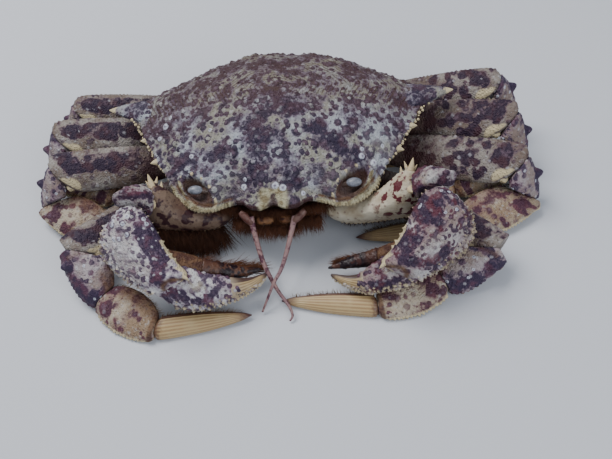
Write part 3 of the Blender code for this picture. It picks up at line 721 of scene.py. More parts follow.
class Paint:
    """Colours that the finishes lay over their own ground."""

    WARM_GROUND = (0.155, 0.132, 0.105)
    PALE_GRAIN = (0.42, 0.43, 0.45)
    WARM_PLUM = (0.045, 0.02, 0.018)
    SPOT_HEART = (0.13, 0.085, 0.12)
    FROST = (0.46, 0.45, 0.49)
    SCALLOP = (0.05, 0.026, 0.021)
    # Dark maroon, mostly painted shade: near the legs' roots and in the shell's front notch and eye hollows
    MAROON = (0.04, 0.014, 0.012)
    OLIVE = (0.17, 0.135, 0.075)
    STRAW = (0.36, 0.335, 0.225)
    CREAM = (0.51, 0.43, 0.275)
    PEARL = (0.52, 0.54, 0.62)
    PEARL_HEART = (0.13, 0.1, 0.16)
    TAN = (0.13, 0.068, 0.036)
    DARK_TAN = (0.06, 0.025, 0.018)
    RUST = (0.06, 0.015, 0.012)
    LIGHT_HORN = (0.4, 0.31, 0.165)
    HORN_TOOTH = (0.5, 0.42, 0.26)
    TOOTH = (0.55, 0.44, 0.27)
    BROWN = (0.075, 0.03, 0.016)
    EYE_DARK = (0.105, 0.115, 0.14)
    EYE_LIGHT = (0.19, 0.2, 0.24)
    STALK = (0.055, 0.03, 0.022)


@dataclass(frozen=True)
class Blotched:
    """Pale ground with plum patches, round spots with a lilac halo on the knobs, and cream teeth.

    The mesh's values steer it: dots marks knobs, plum darkens where positive and clears where negative, and
    cream, ledge, pearl, brown and maroon lay their colours on top; maroon is dark maroon, mostly painted
    shade: near the legs' roots and in the shell's front notch and eye hollows.

    Attributes:
        name: the material's name.
        pale: ground colour.
        pale_other: what the ground drifts to.
        plum: colour of spots and patches.
        plum_other: what the plum drifts to.
        halo: colour round the spots.
        cover: noise level above which a patch shows.
        patch: size of the patches.
        spot: size of the free spots.
        frost: how pale a quarter of the knobs are.
    """

    name: str
    pale: Colour = (0.3, 0.32, 0.36)
    pale_other: Colour = (0.215, 0.205, 0.172)
    plum: Colour = (0.016, 0.01, 0.03)
    plum_other: Colour = (0.042, 0.017, 0.034)
    halo: Colour = (0.105, 0.072, 0.115)
    cover: float = 0.5
    patch: float = 9
    spot: float = 4.2
    frost: float = 0.25

    def make(self) -> bpy.types.Material:
        """Builds the material."""
        g = Graph(self.name)
        fine = g.noise(1.1, 2)
        grit = (fine - 0.5) * 0.2
        slow = g.noise(13, 3, g.moved((0.3, 0.1, 0.2)))
        bent = g.warped(3.2, 2.2)
        force = g["plum"]
        field = g.noise(self.patch, 4, bent) + grit + force * 0.3
        near = g.cells(self.spot, bent) + grit - force * 0.12
        chosen = g.cells(self.spot, bent, "Color") > 0.42
        tiny = g.cells(self.spot * 0.42, g.warped(1.8, 0.9)) + grit - force * 0.1
        knobs, tint = g["dots"], g["tint"]
        marked = (knobs + grit).step(0.1, 0.3) * (tint > 0.45)
        frosted = (knobs + grit).step(0.3, 0.7) * (1 - (tint > 0.24))
        spots = (1 - near.step(0.22, 0.34)) * chosen
        clear = 1 + force.least(0)
        dark = field.step(self.cover, self.cover + 0.07).most(spots)
        dark = dark.most((1 - tiny.step(0.16, 0.32)) * 0.75).most(marked * 0.9) * clear
        around = field.step(self.cover - 0.1, self.cover + 0.03).most((1 - near.step(0.3, 0.5)) * chosen)
        around = around.most((knobs + grit).step(0, 0.14) * (tint > 0.45)) * clear
        warm = g["warm"]
        colour = g.mix(slow.step(0.4, 0.6), self.pale, self.pale_other)
        colour = g.mix(warm * 0.75, colour, Paint.WARM_GROUND)
        colour = g.mix(fine.step(0.5, 0.78) * (0.45 - warm * 0.2), colour, Paint.PALE_GRAIN)
        colour = g.mix(around * 0.75, colour, self.halo)
        plum = g.mix((g.noise(4, 3) + warm * 0.2).step(0.46, 0.66), self.plum, self.plum_other)
        plum = g.mix(warm * 0.55, plum, Paint.WARM_PLUM)
        colour = g.mix(dark * 0.93, colour, g.mix(g.noise(1.4).step(0.55, 0.75) * 0.4, plum, self.halo))
        heart = (knobs.step(0.5, 0.8) * (tint > 0.7)).most((1 - near.step(0.05, 0.14)) * spots)
        colour = g.mix(heart * 0.5, colour, Paint.SPOT_HEART)
        colour = g.mix(frosted * self.frost, colour, Paint.FROST)
        lines = (g["arc"] + grit * 2.4).step(0.5, 0.85) * g.noise(3, 2).step(0.35, 0.55)
        colour = g.mix(lines * 0.75, colour, Paint.SCALLOP)
        # Painted shade: dark maroon wherever the mesh's maroon value is set
        colour = g.mix(g["maroon"].step(0, 1) * 0.85, colour, Paint.MAROON)
        olive = g.mix(g.noise(2.6, 3).step(0.38, 0.62), Paint.OLIVE, Paint.STRAW)
        colour = g.mix((g["ledge"] + grit * 2).step(0.2, 0.7), colour, olive)
        colour = g.mix((g["cream"] + grit * 2).step(0.25, 0.7), colour, Paint.CREAM)
        pearl = g["pearl"]
        colour = g.mix((pearl + grit * 1.6).step(0.15, 0.45) * 0.85, colour, Paint.PEARL)
        colour = g.mix((pearl + grit * 1.4).step(0.6, 0.82) * 0.8, colour, Paint.PEARL_HEART)
        tan = g.mix(g.noise(2.2, 3).step(0.4, 0.62), Paint.TAN, Paint.DARK_TAN)
        colour = g.mix(g["brown"].step(0.05, 0.95), colour, tan)
        relief = (1 - g.cells(0.75).step(0.1, 0.62)) * 0.5 + g.noise(0.42, 2) * 0.35 - dark * 0.1
        return g.dress(colour, 0.42 + fine * 0.26, relief, 0.5, Specular_IOR_Level=0.22)


@dataclass(frozen=True)
class Ribbed:
    """Golden horn ribbed lengthwise, with rust-brown edges and tip.

    Attributes:
        name: the material's name.
        gold: colour of the ribs.
        furrow: colour between them.
        rust: colour of edges and tip.
        tip: share of the length where the tip's colour begins.
        root: colour of the near end.
        fade: share of the length over which it goes.
    """

    name: str
    gold: Colour = (0.4, 0.285, 0.14)
    furrow: Colour = (0.29, 0.185, 0.088)
    rust: Colour = Paint.RUST
    tip: float = 0.78
    root: Colour = Paint.RUST
    fade: float = 0.1

    def make(self) -> bpy.types.Material:
        """Builds the material."""
        g = Graph(self.name)
        fine = g.noise(0.9, 3)
        along = g["along"] + (fine - 0.5) * 0.12
        rib = g["rib"]
        edge = g["edge"] + (fine - 0.5) * 0.2
        colour = g.mix(rib.step(0.25, 0.75), self.furrow, self.gold)
        colour = g.mix(g.noise(5, 2).step(0.45, 0.7) * 0.5, colour, Paint.LIGHT_HORN)
        colour = g.mix(edge.step(0.35, 0.75) * 0.92, colour, self.rust)
        colour = g.mix(along.step(self.tip, 0.99), colour, self.rust)
        colour = g.mix((g["cream"] + fine * 0.2).step(0.3, 0.7) * 0.8, colour, Paint.HORN_TOOTH)
        colour = g.mix((1 - along.step(0, self.fade)) * 0.85, colour, self.root)
        relief = g.noise(0.35, 2) * 0.5 + rib * 0.5
        return g.dress(colour, 0.36 + fine * 0.2, relief, 0.12, Specular_IOR_Level=0.5)


@dataclass(frozen=True)
class Clouded:
    """One colour that drifts to another, with a few spots and fine grain.

    Attributes:
        name: the material's name.
        main: main colour.
        other: what it drifts to.
        spot: colour of the spots.
        cover: noise level above which a spot shows.
        grain: size of the spots.
        roughness: its mean roughness.
        far: share of the length where the spots begin.
    """

    name: str
    main: Colour
    other: Colour
    spot: Colour
    cover: float = 2
    grain: float = 3
    roughness: float = 0.45
    far: float = 0

    def make(self) -> bpy.types.Material:
        """Builds the material."""
        g = Graph(self.name)
        fine = g.noise(0.9, 3)
        colour = g.mix(g.noise(7, 3).step(0.35, 0.65), self.main, self.other)
        spots = g.noise(self.grain, 2, g.warped(2, 1)) + (fine - 0.5) * 0.1
        spots = spots.step(self.cover, self.cover + 0.05)
        if self.far > 0:
            spots = spots * g["along"].step(self.far, self.far + 0.25)
        colour = g.mix(spots, colour, self.spot)
        colour = g.mix((g["cream"] + (fine - 0.5) * 0.3).step(0.3, 0.7), colour, Paint.TOOTH)
        knobs = g["dots"].step(0.2, 0.6) * (g["tint"] > 0.7)
        colour = g.mix(knobs * 0.5, colour, self.spot)
        colour = g.mix(g["brown"].step(0.05, 0.9), colour, Paint.BROWN)
        relief = g.noise(0.5, 3) * 0.6 + (1 - g.cells(0.8).step(0.1, 0.6)) * 0.4
        return g.dress(colour, self.roughness - 0.1 + fine * 0.2, relief, 0.2, Specular_IOR_Level=0.3)


@dataclass(frozen=True)
class Bristle:
    """Thin hair, darker at its root.

    Attributes:
        name: the material's name.
        root: colour at the root.
        tip: colour at the tip.
    """

    name: str
    root: Colour = (0.02, 0.007, 0.005)
    tip: Colour = (0.085, 0.034, 0.018)

    def make(self) -> bpy.types.Material:
        """Builds the material."""
        g = Graph(self.name)
        colour = g.mix(g["along"].step(0, 0.9), self.root, self.tip)
        colour = g.mix(g.noise(3).step(0.4, 0.65) * 0.5, colour, self.root)
        return g.dress(colour, 0.6, Specular_IOR_Level=0.2)


@dataclass(frozen=True)
class Cornea:
    """Glossy eye: clouded grey with a fine pattern of facets, and brown on its stalk."""

    name: str = "eye_cornea"

    def make(self) -> bpy.types.Material:
        """Builds the material."""
        g = Graph(self.name)
        fine = g.noise(0.8, 2)
        facets = g.cells(0.22).step(0.1, 0.5)
        colour = g.mix(g.noise(1.6, 2).step(0.35, 0.65), Paint.EYE_DARK, Paint.EYE_LIGHT)
        colour = g.mix(g["brown"], colour, Paint.STALK)
        return g.dress(colour, 0.3 + fine * 0.15, facets, 0.03, Coat_Weight=0.15)


class Finish(Enum):
    """Finishes of the crab's pieces."""

    SHELL = Blotched("shell_blotched", cover=0.517, patch=8, spot=3.4)
    MERUS = Blotched(
        "leg_merus_blotched", (0.24, 0.215, 0.195), (0.14, 0.105, 0.088), (0.016, 0.008, 0.026),
        (0.044, 0.015, 0.026), (0.105, 0.062, 0.082), cover=0.55, patch=5, spot=4.2, frost=0.4)
    CARPUS = Blotched(
        "leg_carpus_blotched", (0.335, 0.29, 0.305), (0.21, 0.155, 0.135), (0.02, 0.012, 0.04),
        (0.07, 0.022, 0.048), (0.17, 0.11, 0.15), cover=0.53, patch=5, spot=4.2, frost=0.5)
    PROPODUS = Blotched(
        "leg_propodus_blotched", (0.37, 0.31, 0.24), (0.23, 0.16, 0.105), (0.05, 0.014, 0.034),
        (0.095, 0.028, 0.045), (0.18, 0.105, 0.1), cover=0.57, patch=6.5, spot=4.4)
    PALM_RIGHT = Blotched(
        "claw_palm_white", (0.5, 0.485, 0.5), (0.34, 0.3, 0.3), (0.022, 0.01, 0.036),
        (0.08, 0.022, 0.045), (0.2, 0.14, 0.2), cover=0.6, patch=6, spot=4.6, frost=0.75)
    PALM_LEFT = Blotched(
        "claw_palm_maroon", (0.4, 0.38, 0.385), (0.24, 0.18, 0.165), (0.02, 0.009, 0.032),
        (0.08, 0.016, 0.03), (0.17, 0.1, 0.13), cover=0.57, patch=6, spot=4.4, frost=0.2)
    WRIST = Blotched(
        "claw_wrist_blotched", (0.36, 0.34, 0.34), (0.22, 0.17, 0.14), (0.022, 0.008, 0.03),
        (0.085, 0.02, 0.04), (0.17, 0.1, 0.13), cover=0.5, patch=4, spot=3.4)
    DACTYL = Ribbed("leg_tip_ribbed")
    POLLEX_TIP = Ribbed(
        "claw_fixed_finger_ribbed", (0.34, 0.25, 0.125), (0.19, 0.12, 0.055), (0.03, 0.009, 0.012), 0.74,
        (0.33, 0.27, 0.2), 0.35)
    # Dark brown movable finger, darkened further as painted shade
    FINGER = Clouded(
        "claw_finger_dark", (0.04, 0.014, 0.012), (0.085, 0.038, 0.024), (0.01, 0.004, 0.007), 0.46, 3,
        0.36, 0.1)
    ARM_LEFT = Clouded(
        "claw_arm_cream", (0.54, 0.49, 0.385), (0.33, 0.265, 0.18), (0.085, 0.01, 0.016), 0.54, 3.2,
        0.45, 0.42)
    # Painted shade: a darker brown copy of the arm's finish, for the right claw, which lies in shade
    ARM_RIGHT = Clouded(
        "claw_arm_brown", (0.155, 0.105, 0.075), (0.085, 0.045, 0.032), (0.03, 0.009, 0.012), 0.52, 3.4, 0.5)
    HIP = Clouded(
        "leg_base_brown", (0.15, 0.095, 0.07), (0.085, 0.045, 0.036), (0.03, 0.009, 0.012), 0.52, 3.4, 0.5)
    # Cream underside, darkened a little as painted shade
    UNDERSIDE = Clouded(
        "underside_cream", (0.28, 0.21, 0.15), (0.16, 0.1, 0.07), (0.06, 0.02, 0.015), 0.6, 4, 0.5)
    MOUTH = Clouded(
        "mouth_brown", (0.13, 0.05, 0.022), (0.24, 0.12, 0.055), (0.035, 0.01, 0.008), 0.55, 2.4, 0.45)
    FEELER = Clouded(
        "feeler_mauve", (0.17, 0.095, 0.105), (0.25, 0.155, 0.145), (0.075, 0.025, 0.04), 0.54, 1.6, 0.4)
    HAIR = Bristle("hair_brown")
    HAIR_RUST = Bristle("hair_rust", (0.032, 0.01, 0.006), (0.125, 0.047, 0.022))
    HAIR_GOLD = Bristle("hair_golden", (0.06, 0.028, 0.012), (0.24, 0.15, 0.075))
    EYE = Cornea()


class Maker:
    """Puts pieces into the scene and keeps one material for each finish."""

    def __init__(self) -> None:
        """Starts with no materials."""
        self.materials: dict[Finish, bpy.types.Material] = {}

    def piece(self, name: str, skin: Skin, finish: Finish, slot: Slot, *nodes: str) -> bpy.types.Object:
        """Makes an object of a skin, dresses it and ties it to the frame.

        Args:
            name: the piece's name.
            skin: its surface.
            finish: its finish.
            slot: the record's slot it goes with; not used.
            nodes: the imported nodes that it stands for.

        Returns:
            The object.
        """
        made = skin.to_object(name)
        if finish not in self.materials:
            self.materials[finish] = finish.value.make()
        made.data.materials.append(self.materials[finish])
        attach(made, BODY)
        if nodes:
            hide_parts(*nodes)
        log.info("%s: %d points", name, len(skin.points))
        return made


@dataclass
class Shell:
    """Broad domed shell with a side spine, toothed margin, eye hollows and knobs.

    Attributes:
        centre: plan centre of the dome.
        crown: its height.
        bottom: height of its flat underside.
        lip: depth of the margin.
        margin: its left half, from the front's middle round to the back's.
        spine_root: root of the left side spine.
        spine_tip: its tip.
        spine_radius: its radius at the root.
        spine_level: its height, and how far it is flattened about it.
        orbit: centre of the left eye's hollow.
        orbit_radii: its radii.
        orbit_turn: degrees its long axis is turned towards the back.
        around: points round each ring.
        rings: rings over the top.
        teeth: place and radius of the larger teeth of the margin.
        pearls: place in plan and radius of white ringed knobs.
        beads: line along which round beads stand.
    """

    centre: tuple[float, float] = (0, -4)
    crown: float = 39
    bottom: float = 17.3
    lip: float = 1.9
    margin: tuple[Point, ...] = (
        (0, -43.4, 24), (3.6, -45, 23.6), (7.6, -44.4, 23), (11.5, -41.4, 22.5), (17, -41.4, 22),
        (21.5, -43, 21.5), (28, -41.6, 21.5), (33.6, -36.8, 22.5), (38.2, -28.5, 24.5), (42.4, -22.6, 25),
        (44.6, -17.4, 25.5), (48, -12.2, 26), (50.8, -5.2, 26.5), (54.2, 1.6, 26.8), (50.4, 8.2, 26),
        (44, 13.8, 24.6), (36, 20.6, 22.6), (27, 26.8, 20.8), (15, 30.6, 19.6), (0, 31.6, 19.2),
    )
    spine_root: Point = (46.5, 0.8, 26)
    spine_tip: Point = (64.3, 3, 28)
    spine_radius: float = 6.6
    spine_level: Spot = (26.9, 0.62)
    orbit: Point = (26.2, -37.4, 27)
    orbit_radii: Point = (7, 3.1, 5.6)
    orbit_turn: float = 41
    around: int = 620
    rings: int = 128
    teeth: tuple[tuple[float, float, float, float], ...] = (
        (49.9, -12.9, 26, 1.9), (44.6, -23.6, 25.2, 1.8), (29, -31.4, 27.6, 1.7), (21.4, -38.6, 25.6, 1.5),
    )
    pearls: tuple[Point, ...] = (
        (0.9, -38.9, 1.3), (3.5, -40, 1.2), (9.9, -40.2, 0.9), (-9.9, -37.7, 1.1), (29.9, -28.8, 1.2),
        (33.9, -29.8, 1.3), (37, -23.6, 0.8), (-28.1, -26.3, 0.9), (30, -26.5, 0.9), (-39.3, -11.1, 1.3),
        (-37.5, -9, 0.9), (-41.6, -15, 0.9), (-9.4, -35.9, 0.8), (-21.6, -18.4, 0.8),
    )
    beads: tuple[Point, ...] = (
        (39.6, -27.2, 24.4), (43.4, -21.6, 24.9), (46, -16.6, 25.4), (49.8, -10.6, 26),
        (52.4, -5.4, 26.6), (55.6, -1.2, 27), (59.4, 1.2, 27.4), (62.6, 2.6, 27.8),
    )

    def margin_ring(self) -> Array:
        """The whole margin as a ring of points, from its front round by its left side."""
        half = curve(self.margin, self.around // 2 + 1)
        return np.concatenate([half, half[-2:0:-1] * (-1, 1, 1)])

    def dome(self, x: Array, y: Array, share: Array, edge: Array) -> Array:
        """Height of the top.

        The dome is edge + (crown - edge) (1 - share^power)^k, whose power grows to the back so that it falls
        gently in front and steeply behind, with a low middle swelling and a groove at each side of it.

        Args:
            x: place across.
            y: place along.
            share: share of the way from the centre to the margin.
            edge: height of the margin there.

        Returns:
            The heights.
        """
        back = np.clip((y - self.centre[1]) / 36, 0, 1)
        height = edge + (self.crown - edge) * (1 - share ** (2.2 + 1.8 * back)) ** (1 - 0.1 * back)
        middle = hill(x, y, (0, -12), (13, 15))
        groove = hill(np.abs(x), y, (16, -6), (4.5, 16))
        return height + (0.6 * middle - 0.6 * groove) * (1 - share**2)

    def top(self) -> tuple[Array, dict[str, Array]]:
        """Rings of the top from its middle to its margin, with the hollows for the eyes sunk in.

        A triangle wave along the margin pushes its small teeth out, the front ledge is a sunk brim with a
        beaded line above it, and each eye's hollow is half an ellipsoid inside a raised rim.

        Returns:
            The rings and the values on their points.
        """
        ring = self.margin_ring()
        share = (np.linspace(0.03, 1, self.rings) ** 0.8)[:, None]
        flat = self.centre + share[..., None] * (ring[:, :2] - self.centre)
        x, y = flat[..., 0], flat[..., 1]
        z = self.dome(x, y, np.minimum(share, 0.9995), ring[:, 2])
        length = np.concatenate([[0], np.cumsum(np.linalg.norm(np.diff(ring, axis=0), axis=1))])
        toothed = (ring[:, 1] > -37) & (ring[:, 1] < 2)
        ledge = eased(np.abs(ring[:, 0]), 11, 17) * (1 - eased(ring[:, 1], -35, -31))
        saw = zigzag(length / np.where(ledge > 0.5, 1.25, 2.3)) ** 1.4
        push = saw * (0.7 * toothed + 0.75 * ledge) * eased(share, 0.955, 1)
        out = unit(ring[:, :2] - self.centre)
        x, y = x + push * out[:, 0], y + push * out[:, 1]
        brim = ledge * eased(share, 0.955, 0.963)
        line = ledge * bell(share, 0.95, 0.007)
        z = z - 0.9 * brim
        z = z + line * (0.25 + 0.35 * np.sin(length * math.tau / 1.9)) + 0.3 * saw * brim
        lobes = bell(x, 0, 5.2, 4) * eased(-y, 38.6, 41)
        notch = bell(x, 0, 1.1 + 0.5 * np.clip(-y - 42, 0, 3)) * eased(-y, 40.2, 41.6)
        lobe_line = 0.9 * eased(share, 0.975, 0.99) * (np.abs(x) < 13) * (y < -38)
        rear = 0.3 * eased(y, 0, 24) * (1 - eased(np.abs(x), 12, 40))
        arcs = (0.5 + 0.5 * np.cos(math.tau * share * 34)) * eased(y, -16, -4)
        edge = toothed * saw**3 * eased(share, 0.986, 0.997)
        edge = np.maximum(edge, 0.55 * ledge * eased(share, 0.985, 0.998))
        edge = np.maximum(edge, 0.3 * line * (np.sin(length * math.tau / 4.3) > 0.2))
        broken = 0.5 + 0.5 * np.sin(length * math.tau / 5.3 + 1.3 * np.sin(length * 0.31))
        lit = 0.3 + 0.7 * eased(share, 0.972, 0.99) * (0.55 + 0.45 * saw)
        plum = 0.24 * (1 - eased(np.hypot(x / 13, (y + 22) / 16), 0.6, 1.1)) - 0.5 * lobes
        plum = plum - 0.22 * eased(-y, 30, 36) * eased(np.abs(x), 8, 12)
        values = {
            "ledge": np.maximum(brim * lit, 0.9 * (lobes * (1 - notch))),
            "cream": edge * (0.65 + 0.35 * saw) * (1 - 0.45 * broken * (np.abs(x) < 16)),
            "brown": brim * (1 - eased(share, 0.962, 0.985)) * (0.6 + 0.4 * broken),
            # maroon: painted shade in the front notch; darker maroon also towards the back middle and along
            # the front lobes' edge
            "maroon": np.maximum(rear, 0.95 * np.maximum(notch, lobe_line)),
            "warm": eased(y, -24, 0), "arc": arcs,
            "plum": plum - 0.6 * np.exp(-((x - 36.5) ** 2 + (y + 23) ** 2) / 22),
        }
        lumps = np.random.default_rng(5).uniform((-38, -30, 3.5, 0.35), (38, 24, 6.5, 0.8), (26, 4))
        for cx, cy, reach, height in lumps:
            lump = height * np.exp(-(((x - cx) ** 2 + (y - cy) ** 2) / reach**2))
            z = z + lump * (1 - eased(share, 0.75, 0.95))
        z = z + 0.07 * arcs * (1 - eased(share, 0.9, 1))
        turn = math.radians(self.orbit_turn)
        for sign in SIDES.values():
            dx, dy = sign * x - self.orbit[0], y - self.orbit[1]
            along = (dx * math.cos(turn) + dy * math.sin(turn)) / self.orbit_radii[0]
            across = (dy * math.cos(turn) - dx * math.sin(turn)) / self.orbit_radii[1]
            reach = np.hypot(along, across)
            floor = self.orbit[2] - self.orbit_radii[2] * np.sqrt(np.maximum(1 - reach**2, 0))
            inside = 1 - eased(reach, 0.95, 1)
            rim = bell(reach, 1.14, 0.12)
            z = z + (np.minimum(z, floor) - z) * inside + 0.5 * rim
            brow = rim * (across > 0) * eased(np.sin(along * 11 + 0.6), 0.2, 0.95)
            below = rim * (across < -0.3)
            # Painted shade: dark maroon and brown inside the hollow
            laid = {"brown": inside * 0.35, "maroon": inside, "cream": 0.8 * brow, "ledge": below}
            values |= {name: np.maximum(values[name], amount) for name, amount in laid.items()}
        return np.stack([x, y, z], -1), values

    def skin(self) -> Skin:
        """The whole shell: knobbed top, thin lip, underside, side spines, teeth and beads."""
        rings, values = self.top()
        edge = rings[-1]
        under = [edge - (0, 0, 0.9)]
        for share, rise in ((0.965, 1), (0.85, 0.62), (0.62, 0), (0.3, 0)):
            flat = self.centre + share * (edge[:, :2] - self.centre)
            z = self.bottom + np.maximum(edge[:, 2] - self.lip - self.bottom, 0) * rise
            under.append(np.column_stack([flat, z]))
        fade = np.array([1] + [0.3] * (len(under) - 1))[:, None]
        values = {name: np.concatenate([grid, grid[-1:] * fade]) for name, grid in values.items()}
        shell = Skin.over_rings(np.concatenate([rings, np.array(under)]), **values)
        bare = (shell.values["brown"] < 0.05) & (shell.values["ledge"] < 0.5) & (shell.values["cream"] < 0.3)
        top = (shell.points[:, 2] > 21.5) & bare & (shell.normals()[:, 2] > 0.25)
        draw = np.random.default_rng(11)
        for spacing, radii, height, seed in ((5.4, (1.1, 2.1), 0.36, 3), (2.7, (0.55, 1.05), 0.44, 4)):
            centres = shell.strewn(spacing, top, seed)
            shell.raised(centres, draw.uniform(*radii, len(centres)), height)
        pearls = np.array(self.pearls)
        spot = nearest(pearls[:, :2], shell.points[top][:, :2])[0]
        shell.raised(shell.points[top][spot], pearls[:, 2], 0.4, "pearl")
        shell.values["dots"] = shell.values["dots"] * (shell.values["pearl"] <= 0)
        extras = []
        for side in SIDES.values():
            root, tip = mirrored(self.spine_root, side), mirrored(self.spine_tip, side)
            spine = thorn(root, tip, self.spine_radius, -0.6, 54, 80)
            spine.values["cream"] = eased(spine.values["along"], 0.72, 0.96)
            level, flatness = self.spine_level
            spine.points[:, 2] = level + (spine.points[:, 2] - level) * flatness
            knobs = spine.strewn(2.6, spine.values["along"] < 0.6, 5)
            extras.append(spine.raised(knobs, draw.uniform(0.5, 1, len(knobs)), 0.34))
            for tx, ty, tz, radius in self.teeth:
                inward = mirrored((tx * 0.93, ty * 0.93, tz - 0.8), side)
                extras.append(thorn(inward, mirrored((tx, ty, tz), side), radius))
            for place in curve(self.beads, 30):
                size = draw.uniform(0.3, 0.62)
                bead = ball(mirrored(place + draw.normal(0, 0.25, 3), side), (size, size, size), 10, 7)
                extras.append(bead.painted("cream", 1))
        return shell.joined(*extras)

    def build(self, maker: Maker) -> None:
        """Makes the shell."""
        maker.piece("shell", self.skin(), Finish.SHELL, Slot.SHELL, "carapace")


@dataclass(frozen=True)
class SegmentPlan:
    """Form of one kind of leg segment.

    Attributes:
        facing: the way its broad side faces, on the left.
        share: its breadth as a share of the merus.
        thickness: its thickness.
        stations: share of length, of half breadth and of half thickness.
        finish: its finish.
        slot: its slot.
    """

    facing: Point
    share: float
    thickness: float
    stations: tuple[Station, ...]
    finish: Finish
    slot: Slot = Slot.LEG


class Segment(Enum):
    """Kinds of leg segment, from the hip outwards."""

    BASE = SegmentPlan((0, -0.5, 0.87), 0.5, 7, ((0, 0.9, 0.9), (0.5, 1.05, 1), (1, 0.75, 0.75)), Finish.HIP)
    MERUS = SegmentPlan(
        (0, -0.6, 0.8), 1, 5.6,
        ((0, 0.42, 0.8), (0.07, 0.6, 0.95), (0.25, 0.84, 1), (0.6, 1, 1), (0.9, 0.97, 1.05), (1, 0.6, 1)),
        Finish.MERUS,
    )
    CARPUS = SegmentPlan(
        (0.6, -0.5, 0.6), 0.88, 7, ((0, 0.62, 0.85), (0.25, 0.95, 1), (0.7, 1, 1), (1, 0.7, 0.75)),
        Finish.CARPUS,
    )
    PROPODUS = SegmentPlan(
        (0.1, -0.3, 0.95), 0.98, 5.4,
        ((0, 0.6, 0.9), (0.15, 0.9, 1), (0.5, 1.05, 1), (0.85, 0.82, 0.95), (1, 0.5, 0.85)), Finish.PROPODUS,
    )
    DACTYL = SegmentPlan(
        (0, -0.5, 0.87), 0.52, 4.6,
        ((0, 0.8, 0.95), (0.08, 1, 1), (0.5, 0.86, 0.85), (0.85, 0.42, 0.5), (1, 0.07, 0.1)),
        Finish.DACTYL, Slot.FINGER,
    )


LEG_ROOT = {2: (22.3, -15, 9), 3: (23.7, -4, 7.6), 4: (23.3, 5, 8.5), 5: (20, 13.5, 10)}
# The way the underbody's wall faces at each hip
HIP_WALL = {2: (0.84, -0.31, -0.44), 3: (0.87, -0.01, -0.49), 4: (0.81, 0.3, -0.51), 5: (0.63, 0.49, -0.6)}
# Lengths of base, carpus, propodus and dactyl
LEG_LENGTHS = {
    2: (11.3, 18, 23.2, 32), 3: (12.9, 12.5, 28.5, 35.5), 4: (12.8, 13.4, 27, 34), 5: (12.6, 13.5, 25.3, 29),
}
MERUS_LENGTHS = {"left": {2: 52, 3: 52, 4: 50.8, 5: 50.4}, "right": {2: 49, 3: 49.6, 4: 50.2, 5: 48.8}}
LEG_BREADTH = {2: 14.2, 3: 15, 4: 14.2, 5: 12.5}
# Turn and rise of each segment
LEG_POSE = {
    ("left", 2): ((-30, 8), (-43, -0.6), (-155, -18), (-160, -5), (174, -1)),
    ("left", 3): ((-16, 8), (-20.3, 7.7), (-50, -62), (-156, -2), (-178, -4)),
    ("left", 4): ((6, 14), (-16.5, 10.6), (-50, -66), (-154, -9), (-177, -6)),
    ("left", 5): ((8, 16), (-9.5, 13.1), (8, -64), (-153, -16), (-168, -9)),
    ("right", 2): ((-30, 8), (-40.5, 3), (-126, -30), (-148, -4), (172, -1)),
    ("right", 3): ((-16, 8), (-13, 8.3), (-50, -54), (-151, -4), (-176, -4)),
    ("right", 4): ((-2, 12), (-10.4, 11), (-45, -63), (-154, -8), (-176, -6)),
    ("right", 5): ((8, 16), (-5.5, 8.8), (-16, -66), (-153, -10), (-170, -8)),
}
# Facing and breadth of a segment that lies otherwise than its kind
FLATTER = {(2, "carpus"): ((0.1, -0.6, 0.8), 1.05)}
# At a joint that bends further than the cosine SHARP_BEND, segments end this far round the corner
CORNER_REACH = 2.6
SHARP_BEND = 0.5


@dataclass(frozen=True)
class Fringe:
    """Bristles rooted along a line, each a thin three-sided taper that droops in a parabola.

    Attributes:
        count: number of bristles.
        length: mean length.
        width: radius at the root.
        spread: how far the directions stray, as a share of the length.
        droop: how far the tips sink, as a share of the length.
        seed: seed of the draw.
        band: where its band lies on the coat's map, whose other way runs along the line.
    """

    count: int
    length: float
    width: float = 0.11
    spread: float = 0.35
    droop: float = 0.25
    seed: int = 1
    band: float = 0.05

    def skin(self, roots: Array, ways: Array) -> Skin:
        """Bristles at places drawn along the line.

        Args:
            roots: places along the line, evenly read.
            ways: the direction in which the bristles grow at each.

        Returns:
            All the bristles as one skin.
        """
        draw = np.random.default_rng(self.seed)
        at = draw.uniform(0, len(roots) - 1, self.count)
        low = at.astype(int)
        t = (at - low)[:, None]
        high = np.minimum(low + 1, len(roots) - 1)
        root = roots[low] * (1 - t) + roots[high] * t + draw.normal(0, 0.25, (self.count, 3))
        way = unit(ways[low] * (1 - t) + ways[high] * t + draw.normal(0, self.spread, (self.count, 3)))
        length = self.length * draw.uniform(0.6, 1.15, self.count)
        side = unit(np.cross(way, (0.1, 0.2, 0.97)))
        up = np.cross(side, way)
        share = np.array([0, 0.35, 0.7, 1])
        centre = root[:, None] + way[:, None] * (length[:, None] * share)[..., None]
        centre[..., 2] -= self.droop * length[:, None] * share**2
        centre[..., 2] = np.maximum(centre[..., 2], HAIR_FLOOR)
        angle = np.arange(3) * math.tau / 3
        ring = np.cos(angle)[:, None] * side[:, None, :] + np.sin(angle)[:, None] * up[:, None, :]
        radius = self.width * np.array([1, 0.8, 0.5, 0.08])
        rings = centre[:, :, None] + ring[:, None] * radius[None, :, None, None]
        index = np.arange(self.count * 12).reshape(self.count, 4, 3)
        tris = np.concatenate([index[:, 0, ::-1], index[:, -1]])
        along = np.broadcast_to(share[None, :, None], (self.count, 4, 3)).ravel()
        across = self.band + draw.uniform(0, 0.08, self.count)
        spot = np.column_stack([0.02 + 0.96 * at / (len(roots) - 1), across])
        x, y = np.broadcast_arrays(np.arange(3) / 2, share[:, None])
        patches = spot[:, None] + PATCH * np.stack([x, y], -1).reshape(1, 12, 2)
        values = {"along": along.astype(float)}
        return Skin(rings.reshape(-1, 3), strips(index), tris, values, patches.reshape(-1, 2)).facing_out()


